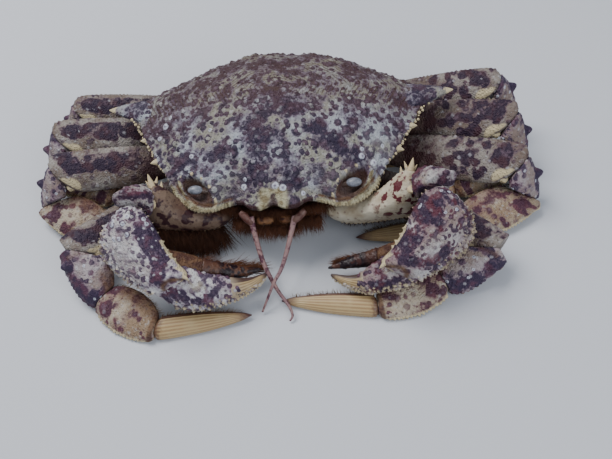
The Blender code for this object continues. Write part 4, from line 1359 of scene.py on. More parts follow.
def coat(rows: Sequence[tuple[int, float, Array, Array]], *form: float, seed: int) -> Skin:
    """Rows of bristles as one skin, each row in a band of its own on the coat's map.

    Args:
        rows: number, mean length, roots and ways of the bristles of each row.
        form: width, spread and droop of them all.
        seed: seed of the first row's draw.

    Returns:
        All the rows.
    """
    made = []
    for n, (count, length, roots, ways) in enumerate(rows):
        made.append(Fringe(count, length, *form, seed + n, 0.05 + 0.1 * n).skin(roots, ways))
    return Skin.joined(*made)


@dataclass
class Leg:
    """One walking leg of five segments, from the hip down to its pointed tip.

    Attributes:
        label: left or right.
        number: 2 to 5, from the front.
    """

    label: str
    number: int

    def __post_init__(self) -> None:
        """Works out the directions, the joints and the directions square to the joints' planes."""
        self.side = SIDES[self.label]
        self.ways = [heading(turn, rise, self.side) for turn, rise in LEG_POSE[self.label, self.number]]
        base, *beyond = LEG_LENGTHS[self.number]
        lengths = np.array([base, MERUS_LENGTHS[self.label][self.number], *beyond])
        steps = np.array(self.ways) * lengths[:, None]
        start = mirrored(LEG_ROOT[self.number], self.side)
        self.joints = np.concatenate([[start], start + np.cumsum(steps, axis=0)])
        between = [unit(way + beyond) for way, beyond in zip(self.ways, self.ways[1:])]
        self.bends = [unit(mirrored(HIP_WALL[self.number], self.side)), *between, self.ways[-1]]
        self.seed = 10 * self.number + (self.label == "left")

    def limb(self, index: int, kind: Segment) -> Limb:
        """The grid of one segment."""
        plan = kind.value
        facing, share = FLATTER.get((self.number, kind.name.lower()), (plan.facing, plan.share))
        way = self.ways[index]
        before, after = self.bends[index:index + 2]
        half = (LEG_BREADTH[self.number] * share / 2, plan.thickness / 2)
        start, end = set_back(self.joints[index], way, before), set_back(self.joints[index + 1], -way, after)
        return Limb(start, end, plan.stations, half, mirrored(facing, self.side), (before, after))

    def planes(self, index: int) -> list[tuple[Array, Array]]:
        """The planes that hold a segment in: those of its joints, and across the corners of sharp bends."""
        way = self.ways[index]
        found = []
        for end, out in ((index, -1), (index + 1, 1)):
            if 0 < end < len(self.ways):
                found.append((self.joints[end], out * self.bends[end]))
                if self.ways[end - 1] @ self.ways[end] < SHARP_BEND:
                    found.append((self.joints[end] + out * way * CORNER_REACH, out * way))
        return found

    def merus(self, limb: Limb) -> Skin:
        """Long flat segment, spotted on the left and with a dark band under a pale strip on the right."""
        # dark, plain and ground steer the pattern; least is the painted shade laid over the whole segment, on
        # the left only
        dark, plain, ground, least = (0.4, 0.35, -0.12, 0.2) if self.side > 0 else (0.12, 0.6, 0.1, 0)
        count, reach = (14, (-0.75, 0.1)) if self.side > 0 else (8, (-0.1, 0.5))
        # How far out from the body the painted shade reaches, further on the left
        shade_reach = (0.3, 0.75) if self.side > 0 else (0.2, 0.62)
        upper = limb.away_from(np.array([0, 0.3, 1]))
        place = limb.placed(upper)
        teeth = limb.saw(1.5, upper, 0.2) * eased(limb.share, 0.1, 0.25)
        ridge = 0.45 * limb.closeness(upper, 0.5) * eased(limb.share, 0.1, 0.3)
        draw = np.random.default_rng(self.seed)
        marks = [(0.86, 0.34, 2.9), (0.66, 0.1, 2)] + [(0.78, -0.15, 4.2)] * (self.number == 2)
        for _ in range(count):
            marks.append((draw.uniform(0.25, 0.8), draw.uniform(*reach), draw.uniform(1.2, 2.3)))
        knee = 0.8 * eased(limb.share, 0.93, 0.96) * (place > 0)
        low_half = (1 - eased(place, -0.35, 0.1)) * eased(limb.share, 0.3, 0.5)
        if self.side > 0:
            marks += [(0.78, -0.5, 1.5), (0.9, -0.12, 1.3)]
            marks += [(0.55, 0.7, 1.3), (0.66, 0.75, 1.2), (0.76, 0.72, 1.3)]
            strip = 0
            band = 0.9 * eased(place, 0.72, 0.8) * (np.sin(limb.share * 47 + self.seed) > -0.2)
        else:
            strip = eased(place, 0.78, 0.9) * eased(limb.share, 0.15, 0.3)
            strip = strip * (1 - eased(limb.share, 0.78, 0.84))
            band = eased(place, -0.2, 0.1) * (1 - eased(place, 0.75, 0.85))
            band = band * (1 - eased(limb.share, 0.74, 0.8))
        plum = limb.blots(place, marks) * 1.5 + dark * band - 0.7 * strip - plain * low_half - knee + ground
        corner = limb.blots(place, [(0.9, -0.62, 2.6), (0.95, -0.5, 1.8)])
        cream = np.maximum(0.45 * teeth, 0.8 * corner)
        # Painted shade: dark maroon fading out along the segment from the body, deeper on the lower side
        maroon = np.maximum((1 - eased(limb.share, *shade_reach)) * np.clip(0.85 - 0.25 * place, 0, 1), least)
        skin = limb.skin(0.5 * teeth + ridge, cream=cream, plum=plum, maroon=maroon)
        big = skin.strewn(4.2, skin.values["along"] > 0.25, self.seed)
        skin.raised(big, draw.uniform(0.5, 1.1, len(big)), 0.36)
        low = -limb.across if limb.across[2] > 0 else limb.across
        foot = limb.start + limb.way * limb.length * 0.88 + low * limb.half[0] * 0.55
        spine = thorn(foot, foot + limb.way * 4.6 + low * limb.half[0] * 0.42 - limb.normal * 0.4, 2.3)
        spine.values["cream"] += 1
        return skin.joined(spine)

    def carpus(self, limb: Limb) -> Skin:
        """Short knee segment with dark round knobs down its outer side and a golden inner face."""
        front = self.number == 2
        outer = limb.away_from(mirrored((1, -0.5, 0.4), self.side))
        place = limb.placed(outer)
        brown = 0.7 * eased(-place, 0.1, 0.7) * eased(limb.share, 0.35, 0.7)
        arc = bell(limb.share - 0.1 - 0.06 * place, 0, 0.06) * (place < 0.5)
        plum = (0.6 if self.side < 0 else 0.42) * eased(place, 0, 0.8)
        plum = plum - 0.7 * limb.blots(place, [(0.35, -0.1, 3), (0.75, -0.2, 2)])
        saw = limb.saw(1.6, outer, 0.2)
        brown = np.maximum(brown, 0.45 * arc) * front
        relief = 0.3 * limb.closeness(outer, 0.4) + 0.5 * saw
        skin = limb.skin(relief, brown=brown, plum=plum, cream=0.6 * saw)
        shares = np.linspace(0.12, 0.92, 7 if front else 5)
        second = limb.on_margin(outer, shares[:-1] + 0.07, 0.5)
        skin.raised(np.concatenate([limb.on_margin(outer, shares, 0.15), second]), 1.5, 0.75)
        boss = limb.on_margin(outer, np.array([0.12 if front else 0.5]), 0.3) + 1.5 * limb.normal
        spot = skin.points[nearest(boss, skin.points)[0]]
        skin.raised(spot, 2.4, 0.9)
        near = np.linalg.norm(skin.points - spot, axis=1)
        skin.values["plum"] = skin.values["plum"] + 2 * bell(near, 0, 2.4, 4)
        skin.values["tint"] = np.where(near < 2.8, 0.6, skin.values["tint"])
        along, brown = skin.values["along"], skin.values["brown"]
        skin.raised(skin.strewn(3.6, (brown < 0.3) & (near > 3.2), self.seed), 0.9, 0.32)
        gems = skin.strewn(6.5, (along > 0.1) & (brown < 0.1) & (near > 3.5), self.seed + 1)[::2]
        return skin.raised(gems, 0.6, 0.4, "pearl")

    def propodus(self, limb: Limb) -> Skin:
        """Flat oar-like segment: toothed cream outer margin, smooth golden inner half and raised far rim."""
        outer = limb.away_from(mirrored((0.4, -1, 0), self.side))
        place = limb.placed(outer)
        wander = 1.5 * np.sin(limb.share * 9 + self.seed) + 0.9 * np.sin(place * 4 + limb.share * 17)
        ribs = 0.5 + 0.5 * np.cos(math.tau * limb.share * limb.length / 4.6 + 2.6 * place + wander)
        stripes = 0.6 * (self.number > 2) * eased(place, 0, 0.6) * (2 * ribs - 1)
        tone = 0.62 if self.number == 2 or self.side < 0 else 0.3
        brown = tone * eased(-place, -0.1, 0.8) * eased(limb.share, 0.02, 0.3)
        rim = eased(limb.share, 0.9, 0.94) * (1 - eased(limb.share, 0.985, 1))
        relief = 0.12 * ribs * eased(place, 0.1, 0.8) + 0.3 * limb.closeness(math.pi - outer, 0.5)
        relief = relief + 0.35 * rim
        plum = -0.55 * limb.blots(place, [(0.45, 0.1, 3.4), (0.7, 0.5, 2.6)])
        plum = plum + 1.2 * limb.blots(place, [(0.2, 0.45, 2.6)]) + stripes
        cream = 0.9 * limb.closeness(outer, 0.2)
        skin = limb.skin(relief, brown=np.maximum(brown, 0.7 * rim), cream=cream, plum=plum)
        first = limb.on_margin(outer, np.arange(0.06, 0.97, 1.3 / limb.length))
        skin.raised(first, 0.95, 1.15, "tooth", peak=0.8)
        second = limb.on_margin(outer, np.arange(0.1, 0.93, 1.9 / limb.length), 0.2)
        skin.raised(second, 0.7, 0.6, "tooth", peak=0.4)
        skin.painted("cream", skin.values["tooth"])
        knobs = skin.strewn(3.4, skin.values["brown"] < 0.2, self.seed)
        draw = np.random.default_rng(self.seed + 70)
        return skin.raised(knobs, draw.uniform(0.5, 1.1, len(knobs)), 0.36)

    def dactyl(self, limb: Limb) -> Skin:
        """Pointed tip with ribs along it and a dark line down its upper edge."""
        wave = 0.5 + 0.5 * np.cos(18 * limb.angle)[None]
        fade = eased(limb.share, 0.02, 0.12) * (1 - eased(limb.share, 0.85, 1))
        saw = limb.saw(1.1, 0, 0.16) * (1 - limb.share)
        skin = limb.skin(0.11 * wave * fade + 0.3 * saw, rib=wave)
        upward = skin.normals() @ unit(np.array([0, 0.85, 0.5]))
        return skin.painted("edge", eased(upward, 0.5, 0.8) * eased(skin.values["along"], 0, 0.08))

    def build(self, maker: Maker) -> None:
        """Makes the five segments and the hair along the inner margins of the last two."""
        shapes: dict[Segment, Callable[[Limb], Skin]] = {
            Segment.MERUS: self.merus, Segment.CARPUS: self.carpus,
            Segment.PROPODUS: self.propodus, Segment.DACTYL: self.dactyl,
        }
        hair = []
        for index, kind in enumerate(Segment):
            limb = self.limb(index, kind)
            skin = shapes[kind](limb) if kind in shapes else limb.skin()
            skin.kept_within(*self.planes(index)).above_floor()
            name = f"leg_{self.number}_{self.label}_{kind.name.lower()}"
            maker.piece(f"{name}_plate", skin, kind.value.finish, kind.value.slot, name)
            if kind in (Segment.PROPODUS, Segment.DACTYL):
                inner = limb.away_from(mirrored((0, 1, 0.2), self.side))
                roots = limb.on_margin(inner, np.linspace(0.04, 0.9, 40), 0.1)
                out = math.cos(inner) * limb.across + 0.6 * limb.way
                count = 260 if self.number > 2 else 150
                fringe = Fringe(count, 2, 0.08, seed=self.seed + index, band=0.1 * index)
                hair.append(fringe.skin(roots, np.tile(out, (40, 1))))
        maker.piece(f"leg_{self.number}_{self.label}_hair", Skin.joined(*hair), Finish.HAIR_GOLD, Slot.LEG)


@dataclass
class Claw:
    """Claw in front of the mouth: arm, wrist, broad toothed palm with its fixed finger, and movable finger.

    Points are given as on the left, and those on the palm as places along it, across it and out of its plane.

    Attributes:
        label: left or right.
        elbow: joint of arm and wrist.
        wrist: joint of wrist and palm.
        size: size of the fingers.
        pollex: line of the fixed finger.
        finger: line of the movable finger.
        knuckle: where its knuckle starts.
        finishes: finishes of arm and palm.
        coat: number, length, place behind the arm and height of the arm's rows of hair.
        mane: length of the hair along the finger, as a share of the longest.
        root: where the arm leaves the body.
        arm_bow: how far the arm arches.
        palm_thickness: thickness of the palm.
        palm_lift: how far the palm's plane lies out from the wrist.
        outline: the palm's outline, along it and across.
        axis: ends of the line to which the outline shrinks.
        hair_way: the way the arm's hair grows.
    """

    label: str
    elbow: Point
    wrist: Point
    size: float
    pollex: tuple[Point, ...]
    finger: tuple[Point, ...]
    knuckle: Point
    finishes: tuple[Finish, Finish]
    coat: tuple[tuple[int, float, float, float], ...]
    mane: float
    root: Point = (17.6, -36.5, 10.8)
    arm_bow: float = -3.6
    palm_thickness: float = 10
    palm_lift: float = 1.2
    outline: tuple[Spot, ...] = (
        (-1.5, 0), (2, 3.6), (7, 4.9), (16.5, 5.2), (23, 6.2), (28, 7.2), (29, 1),
        (28.5, -5), (24, -8.6), (19, -12), (12.5, -15.4), (7, -15.4), (2.5, -12), (-0.8, -6.5),
    )
    axis: tuple[Spot, Spot] = ((5, -4), (22, -2))
    hair_way: Point = (-0.1, -0.5, -0.8)

    def __post_init__(self) -> None:
        """Works out the joints, the directions and the palm's plane."""
        self.side = SIDES[self.label]
        self.elbow, self.wrist = mirrored(self.elbow, self.side), mirrored(self.wrist, self.side)
        self.shoulder = mirrored(self.root, self.side)
        self.along = heading(-122, -31, self.side)
        facing = mirrored((0.25, -0.66, 0.71), self.side)
        self.facing = unit(facing - self.along * (facing @ self.along))
        self.across = np.cross(self.facing, self.along) * -self.side
        self.ways = (unit(self.elbow - self.shoulder), unit(self.wrist - self.elbow), self.along)
        self.bends = (unit(self.ways[0] + self.ways[1]), unit(self.ways[1] + self.ways[2]))
        gap = 0.15 / (self.along @ self.bends[1]) + 2
        self.start = self.wrist + self.along * gap + self.facing * self.palm_lift

    def place(self, spots: Sequence[Sequence[float]]) -> Array:
        """Places from coordinates along the palm, across it and out of its plane."""
        spots = np.atleast_2d(np.asarray(spots, float))
        return self.start + spots @ np.array([self.along, self.across, self.facing])

    def arm(self) -> tuple[Skin, Limb]:
        """Arm that bows under the shell's rim, with spines by the elbow.

        Returns:
            Its surface and its grid.
        """
        end = set_back(self.elbow, -self.ways[0], self.bends[0])
        stations = (
            (0, 0.5, 0.7), (0.15, 0.62, 0.85), (0.4, 0.66, 0.86), (0.62, 0.8, 0.95), (0.85, 1.05, 1),
            (1, 0.75, 0.85),
        )
        limb = Limb(self.shoulder, end, stations, (6.8, 5.2), mirrored((0, -0.8, 0.6), self.side),
                    (self.ways[0], self.bends[0]), keel=1.6, bow=self.side * self.arm_bow)
        low = limb.away_from(np.array([0, -0.5, -1]))
        skin = limb.skin(0.3 * limb.closeness(low, 0.4), cream=0.6 * limb.closeness(low, 0.2))
        skin.raised(limb.on_margin(low, np.arange(0.1, 0.9, 1.5 / limb.length)), 0.9, 1, "tooth", peak=0.7)
        skin.painted("cream", skin.values["tooth"])
        skin.raised(skin.strewn(1.9, skin.values["along"] > 0.05, 8), 0.6, 0.3)
        skin.kept_within((self.elbow, self.bends[0]))
        top = self.shoulder + (self.elbow - self.shoulder) * 0.9
        tall = thorn(top + (0, 1.5, 1.5), top + mirrored((1.5, 5.5, 8), self.side), 2)
        blunt = thorn(top + (0, -1.5, 1), top + mirrored((0.5, -5.5, 3.5), self.side), 2.6)
        blunt.painted("cream", 1)
        small = [
            thorn(top + mirrored(foot, self.side), top + mirrored(tip, self.side), radius)
            for foot, tip, radius in (
                ((-2, 1.5, 1.5), (-2.6, 4.6, 5), 1.2),
                ((0.8, 2.6, 3), (2.9, 4.8, 5.4), 0.9),
                ((-0.4, 3.4, 4), (-1.4, 5.6, 6.4), 0.8),
            )
        ]
        return skin.joined(tall, blunt, *small), limb

    def wrist_skin(self) -> Skin:
        """Short knobbed wrist."""
        first = set_back(self.elbow, self.ways[1], self.bends[0])
        last = set_back(self.wrist, -self.ways[1], self.bends[1])
        stations = ((0, 0.75, 0.85), (0.3, 1, 1), (0.7, 1, 1), (1, 0.75, 0.8))
        facing = mirrored((0, -0.5, 0.86), self.side)
        skin = Limb(first, last, stations, (5.6, 5), facing, self.bends, keel=2.1).skin()
        skin.raised(skin.strewn(3, skin.values["along"] > -1, 7), 1, 0.45)
        return skin.kept_within((self.elbow, -self.bends[0]), (self.wrist, self.bends[1]))

    def palm(self) -> Skin:
        """Broad palm: its outline shrunk step by step to its long axis, each step raised by the swelling.

        The swelling is thickness (1 - share^2.4)^0.6, more of it on the outer side.
        """
        outline = curve(self.outline, 260, closed=True)
        low, high = np.array(self.axis)
        reach = np.clip((outline - low) @ (high - low) / ((high - low) @ (high - low)), 0, 1)
        axis = low + reach[:, None] * (high - low)
        share = np.concatenate([np.linspace(0.02, 1, 60) ** 0.85, np.linspace(0.985, 0.05, 24) ** 0.9])
        front = np.arange(len(share)) < 60
        drawn = axis.mean(0) + eased(share, 0, 0.4)[:, None, None] * (axis - axis.mean(0))
        flat = drawn + share[:, None, None] * (outline - axis)
        bulge = self.palm_thickness * np.where(front, 0.6, -0.4)
        bulge = bulge * (1 - np.minimum(share, 0.9999) ** 2.4) ** 0.6
        rings = self.start + flat[..., :1] * self.along + flat[..., 1:] * self.across
        rings = rings + bulge[:, None, None] * self.facing
        u, v = flat[..., 0], flat[..., 1]
        upper = eased(share, 0.95, 0.99)[:, None] * (v > 2.5) * (u > 14)
        seam = front[:, None] * bell(np.hypot(u - 31.5, v - 2.2) - 4.6, 0, 0.9)
        plum = 0.9 * eased(v, -0.5, 3) * eased(u, 2, 5) * (1 - eased(u, 21, 24))
        plum = np.maximum(plum, 1.3 * hill(u, v, (24, 1), (2.4, 3.6)))
        patch = hill(u, v, (12, -6), (7, 4.5))
        if self.side > 0:
            plum = (plum - 0.5 * patch * (u < 11)) * (1 - 0.9 * bell(u, 13.5, 3.2))
            plum = np.maximum(plum, 1.1 * hill(u, v, (6.5, 0.5), (4, 3)))
            plum = np.maximum(plum, 0.6 * hill(u, v, (19, -8), (6, 1.4)))
            plum = plum - 0.7 * hill(u, v, (17, -3.5), (3.5, 2.4))
        else:
            plum = plum - 0.8 * patch
        palm = Skin.over_rings(rings, cream=0.8 * upper, brown=0.8 * seam, plum=plum)
        local = (palm.points - self.start) @ np.array([self.along, self.across, self.facing]).T
        outer = (local[:, 2] > 0.6) & (local[:, 0] < 24)
        draw = np.random.default_rng(21 + (self.side > 0))
        for spacing, radii, height, seed in ((4.4, (0.8, 1.4), 0.32, 5), (1.9, (0.45, 0.75), 0.5, 6)):
            centres = palm.strewn(spacing, outer, seed + int(self.side > 0))
            palm.raised(centres, draw.uniform(*radii, len(centres)), height)
        pale = palm.strewn(4.4, (local[:, 2] > 1.5) & (local[:, 0] < 8) & (local[:, 1] > -7), 8)
        every, radius = (2, 0.85) if self.side < 0 else (3, 0.6)
        palm.raised(pale[::every], radius, 0.4, "pearl")
        lower = curve([(1.5, -11), (6, -15), (12, -15.6), (19, -12.2), (26, -7.6)], 29)
        crest = curve([(2, 3.7), (7, 5), (16, 5.3), (22, 6)], 9)
        inner, third = lower + (0.8, 2.2), lower[1::2] + (1.6, 4.4)
        for row, radius, lift in ((lower, 1.55, 0), (inner, 1.2, 2.2), (third, 0.8, 3.4), (crest, 0.7, 0)):
            row = row + draw.normal(0, 0.22, row.shape)
            spots = self.place(np.column_stack([row, np.full(len(row), lift)]))
            found = palm.points[nearest(spots, palm.points)[0]]
            palm.raised(found, radius * draw.uniform(0.7, 1.2, len(found)), 1.25, "tooth", peak=0.6)
        return palm.painted("cream", 0.62 * palm.values["tooth"])

    def finger_line(self) -> tuple[Array, Array, Array]:
        """Course of the fixed finger, whose radii fall with length^1.4.

        A bell-shaped swelling deepens it on the side of the movable finger.

        Returns:
            Its centre line, its radii and the way to its toothed side.
        """
        path = curve(self.place(self.pollex), 90)
        length = np.linspace(0, 1, len(path))
        radii = self.size * (np.array([5.2, 4]) - np.outer(length**1.4, [4.7, 3.5]))
        out = self.side * unit(np.cross(self.facing, unit(np.gradient(path, axis=0))))
        swell = 1.25 * bell(length, 0.4, 0.22)
        radii[:, 0] += swell + 1.6 * bell(length, 0.16, 0.15)
        return path - out * swell[:, None], radii, out

    def inward(self, skin: Skin, path: Array, radii: Array, out: Array) -> Array:
        """Place across the finger, -1 at its toothed side, for each point of its skin."""
        close = nearest(skin.points, path)[0]
        return -np.einsum("ij,ij->i", skin.points - path[close], out[close]) / radii[close, 0]

    def fixed_finger(self) -> Skin:
        """Fixed finger: a tapering section along its curve, with rows of teeth and a pale patch."""
        path, radii, out = self.finger_line()
        made = tube(path, radii, self.facing, around=56, keel=1.9)
        draw = np.random.default_rng(27)
        for shift, radius, rows in ((0, 1.2, slice(14, 84, 3)), (0.45, 1.1, slice(16, 76, 4)),
                                    (0.85, 0.9, slice(16, 76, 4)), (1.15, 0.8, slice(16, 76, 4))):
            spots = path + out * radii[:, :1] * (1 - 0.25 * shift) + self.facing * radii[:, 1:] * shift
            spots = spots[rows]
            spots = spots + draw.normal(0, 0.2, spots.shape)
            found = made.points[nearest(spots, made.points)[0]]
            size = radius * np.linspace(1, 0.6, len(found)) * draw.uniform(0.7, 1.1, len(found))
            made.raised(found, size, 1.1, "tooth", peak=0.7)
        along = made.values["along"]
        far = np.hypot((along - 0.25) / 0.1, (self.inward(made, path, radii, out) - 0.35) / 0.45)
        far = far + 0.22 * np.sin(made.points @ np.array([2.1, 1.3, 0.7]))
        far = far + 0.15 * np.sin(made.points @ np.array([-0.9, 2.7, 1.9]))
        made.values["plum"] = 0.3 - 0.7 * (1 - eased(far, 0.7, 1.3)) + 0.3 * bell(far, 1.7, 0.4)
        made.painted("ledge", 0.42 * (1 - eased(far, 0.3, 1.2))).painted("cream", 0.7 * made.values["tooth"])
        knobs = made.strewn(2.4, (along > 0.1) & (along < 0.62), 9)
        return made.raised(knobs, draw.uniform(0.6, 1.1, len(knobs)), 0.45)

    def tip_cap(self) -> Skin:
        """Ribbed golden sheath over the outer half of the fixed finger, dark along its inner edge."""
        path, radii, out = (values[46:] for values in self.finger_line())
        share = np.linspace(0, 1, len(path))
        radii = radii + (0.12 * (1 - eased(share, 0.9, 1)) - 0.3 * (1 - eased(share, 0, 0.12)))[:, None]
        _, _, angle = section(56, 1.9)
        made = tube(path, radii, self.facing, 56, 1.9, rib=0.5 + 0.5 * np.cos(18 * angle)[None])
        made.painted("edge", eased(self.inward(made, path, radii, out), 0.25, 0.7))
        found = made.points[nearest((path + out * radii[:, :1])[4:42:3], made.points)[0]]
        made.raised(found, np.linspace(0.8, 0.45, len(found)), 1.2, "tooth", peak=0.8)
        return made.painted("cream", made.values["tooth"])

    def spine(self) -> Skin:
        """Cream spine at the palm's upper far corner."""
        return thorn(*self.place([(22, 4, 1), (30, 7.6, 1)]), 2.2)

    def hinge(self) -> Skin:
        """Knuckle between the palm and the movable finger."""
        finger = curve(self.place(self.finger), 8)
        knuckle = self.place(self.knuckle)[0]
        way, ahead = unit(finger[0] - knuckle), unit(finger[1] - finger[0])
        turn = unit(way + ahead)
        half = (3.5 * self.size, 3.2 * self.size)
        last = set_back(finger[0], -way, turn)
        stations = ((0, 1, 1), (0.6, 1.1, 1.1), (1, 1, 1))
        return Limb(knuckle, last, stations, half, self.facing, (way, turn)).skin().painted("brown", 1)

    def movable_finger(self) -> Skin:
        """Movable finger, dark brown with painted shade, lying along the fixed one. Its radii fall with
        length^1.4.
        """
        path = curve(self.place(self.finger), 70)
        share = np.linspace(0, 1, 70) ** 1.4
        radii = self.size * np.column_stack([3.5 + (0.4 - 3.5) * share, 3.2 + (0.4 - 3.2) * share])
        made = tube(path, radii, self.facing, around=44, keel=1.9)
        return made.raised(made.strewn(2.4, made.values["along"] < 0.7, 3), 0.6, 0.5)

    def hair(self, arm: Limb) -> Skin:
        """Hair along the arm's lower margin."""
        low = arm.away_from(np.array([0, -0.5, -1]))
        roots = arm.on_margin(low, np.linspace(0.12, 0.92, 60), 0.12)
        ways = np.tile(mirrored(self.hair_way, self.side), (60, 1))
        rows = []
        for n, (count, length, back, sink) in enumerate(self.coat):
            rows.append((count, length, roots + (0, back, sink), ways + (0, -0.2 * n, 0.1 * n)))
        return coat(rows, 0.14, 0.32, 0.12, seed=31)

    def finger_hair(self) -> Skin:
        """Rust-coloured hair behind the movable finger, reaching back towards the mouth."""
        path = curve(self.place([self.knuckle, *self.finger]), 40)[4:30]
        way = 0.55 * self.across - 0.3 * self.facing + 0.85 * unit(np.gradient(path, axis=0))
        plans = ((520, 4.5, -0.4), (900, 7, 1.8), (900, 8.5, 3.2))
        rows = [(count, self.mane * length, path - self.facing * back, way) for count, length, back in plans]
        return coat(rows, 0.12, 0.26, 0.06, seed=51)

    def build(self, maker: Maker) -> None:
        """Makes the claw's pieces."""
        name = f"claw_{self.label}"
        arm, limb = self.arm()
        maker.piece(f"{name}_arm_plate", arm, self.finishes[0], Slot.SHELL, f"{name}_arm")
        maker.piece(f"{name}_wrist_plate", self.wrist_skin(), Finish.WRIST, Slot.SHELL, f"{name}_wrist")
        palm = self.palm().kept_within((self.wrist, -self.bends[1]))
        palm = palm.joined(self.fixed_finger(), self.spine(), self.hinge())
        maker.piece(f"{name}_palm_plate", palm, self.finishes[1], Slot.SHELL, f"{name}_palm")
        maker.piece(f"{name}_fixed_finger_sheath", self.tip_cap(), Finish.POLLEX_TIP, Slot.FINGER)
        horn = self.movable_finger()
        maker.piece(f"{name}_finger_horn", horn, Finish.FINGER, Slot.CLAW_TIP, f"{name}_finger")
        maker.piece(f"{name}_hair", self.hair(limb), Finish.HAIR, Slot.SHELL)
        maker.piece(f"{name}_finger_hair", self.finger_hair(), Finish.HAIR_RUST, Slot.SHELL)


CLAWS = (
    Claw(
        "left", (48, -38.8, 24.8), (54, -44.2, 30.2), 0.86,
        ((21, -4, -0.8), (29.5, 0.6, -4.4), (35.6, 5.6, -6.6), (37.9, 11, -10), (38.6, 16.8, -13.5)),
        ((26.6, 5.8, -8.6), (30, 9.8, -11.6), (33.6, 14, -14), (37, 18, -15.8)),
        (18, -1.5, -0.8), (Finish.ARM_LEFT, Finish.PALM_LEFT),
        ((120, 1.3, 0.6, -0.6), (300, 2.6, 1.8, -1.2), (400, 3.4, 3.4, -1.8)), 0.6,
    ),
    Claw(
        "right", (43, -40.2, 25), (46.8, -46.2, 30.5), 1,
        ((23, -3.4, -0.8), (34, 4.5, -4.6), (38.4, 11.3, -9.1), (40, 18.3, -14), (39.6, 23.6, -17.5)),
        ((27.8, 7.8, -9.2), (32, 12.6, -12.8), (35.4, 17.6, -16.2), (37.2, 22.2, -18.6)),
        (18.5, 0.5, -1.2), (Finish.ARM_RIGHT, Finish.PALM_RIGHT),
        # Real hair, made long, dense and dark enough to stand in as painted shade under the arm
        ((1000, 8, 0, 0), (1200, 11, 2.2, -1), (1300, 13.5, 5, -1.6)), 1,
    ),
)


@dataclass
class Face:
    """Eyes, feelers and mouth.

    Attributes:
        eye: centre of the left eye.
        eye_radii: its radii.
        stalk: from the eye's middle to the root of its stalk.
        feelers: centre lines of the feelers.
    """

    eye: Point = (26.9, -36.8, 24.9)
    eye_radii: Point = (2.6, 1.65, 1.4)
    stalk: Point = (-4.2, 0.4, -1.4)
    feelers: Mapping[str, tuple[Point, ...]] = field(default_factory=lambda: {
        "left": ((6.6, -44.8, 18.4), (5.4, -48.8, 15.8), (3.6, -54.6, 12.4), (1.6, -60.4, 10.2),
                 (-0.8, -64.6, 8.6), (-3, -68, 5.4), (-5.4, -71.4, 1.2)),
        "right": ((-8.4, -44.2, 18.2), (-7.4, -48.6, 14.6), (-5, -56.3, 9.4), (-2.2, -61.8, 6.2),
                  (0.4, -66.2, 4.8), (3.6, -70.6, 3.6), (4.8, -73.4, 1.9), (3.9, -75, 0.9)),
    })

    def eye_skin(self, side: float) -> Skin:
        """Eyeball on its short stalk."""
        centre = mirrored(self.eye, side)
        path = np.linspace(centre + mirrored(self.stalk, side), centre, 14)
        stalk = tube(path, np.full((14, 2), 1.1), np.array([0, 0, 1]), 24).painted("brown", 1)
        return ball(centre, self.eye_radii).joined(stalk)

    def feeler(self, label: str) -> Skin:
        """Ringed feeler that thins from its foot, with the thick joint that it grows from."""
        side = SIDES[label]
        path = curve(self.feelers[label], 200)
        share = np.linspace(0, 1, 200)
        rings = 1 + 0.07 * np.cos(np.arange(200) * math.tau / 4)
        radius = (0.88 - 0.58 * share) * rings
        whip = tube(path, np.column_stack([radius * 1.15, radius * 0.85]), np.array([0.2, -0.5, 0.8]), 18)
        foot = path[0] + mirrored((3.6, 1.3, 1.2), side)
        way = unit(foot - path[14])
        joint = Limb(path[14], foot, ((0, 0.7, 0.8), (0.3, 1, 1), (0.7, 1, 1), (1, 0.7, 0.7)), (1.3, 1.05),
                     mirrored((0, -0.8, 0.6), side), (way, way), keel=2, rows=36, around=40).skin()
        return whip.joined(joint.painted("brown", 0.6))

    def mouthpart(self, side: float) -> Skin:
        """Outer mouth plate, in two lengths, with small knobs."""
        low, high = mirrored((4, -38.2, 5.5), side), mirrored((3.9, -44.6, 16.6), side)
        way = unit(high - low)
        stations = (
            (0, 0.7, 0.8), (0.2, 1, 1), (0.5, 0.96, 1), (0.56, 0.8, 0.75), (0.62, 0.96, 1), (0.9, 0.9, 1),
            (1, 0.7, 0.8),
        )
        facing = mirrored((0, -1, -0.5), side)
        plate = Limb(low, high, stations, (3.4, 1.5), facing, (way, way), keel=2.4, rows=90).skin()
        return plate.raised(plate.strewn(1.8, plate.values["along"] > -1, 4), 0.45, 0.3)

    def hair(self) -> Skin:
        """Hair round the mouth and under the shell's front rim, in rows that bend back at their ends."""
        rows = []
        plans = (
            (1100, 4.6, -42.8, 15.5, 15, -0.5, 0), (900, 5, -40.8, 11.5, 15, -0.6, 0),
            (600, 4.5, -46.2, 15, 7, -0.5, 0), (1300, 4.6, -41.5, 18.6, 21, -0.7, 0.012),
            (1300, 5.4, -39, 14.5, 20, -0.7, 0.012),
        )
        for count, length, y, z, reach, fall, bend in plans:
            roots = np.array([(x, y + bend * x * x, z) for x in np.linspace(-reach, reach, 60)])
            rows.append((count, length, roots, np.tile([0, -0.8, fall], (60, 1))))
        return coat(rows, 0.1, 0.45, 0.3, seed=41)

    def build(self, maker: Maker) -> None:
        """Makes the face's pieces."""
        for label, side in SIDES.items():
            maker.piece(f"eye_{label}_ball", self.eye_skin(side), Finish.EYE, Slot.EYE, f"eye_{label}")
            whip = self.feeler(label).above_floor()
            maker.piece(f"feeler_{label}_whip", whip, Finish.FEELER, Slot.FEELER, f"antenna_{label}")
            plate = self.mouthpart(side)
            maker.piece(f"mouth_{label}_plate", plate, Finish.MOUTH, Slot.MOUTH, f"mouthpart_{label}")
        maker.piece("mouth_hair", self.hair(), Finish.HAIR_RUST, Slot.MOUTH)


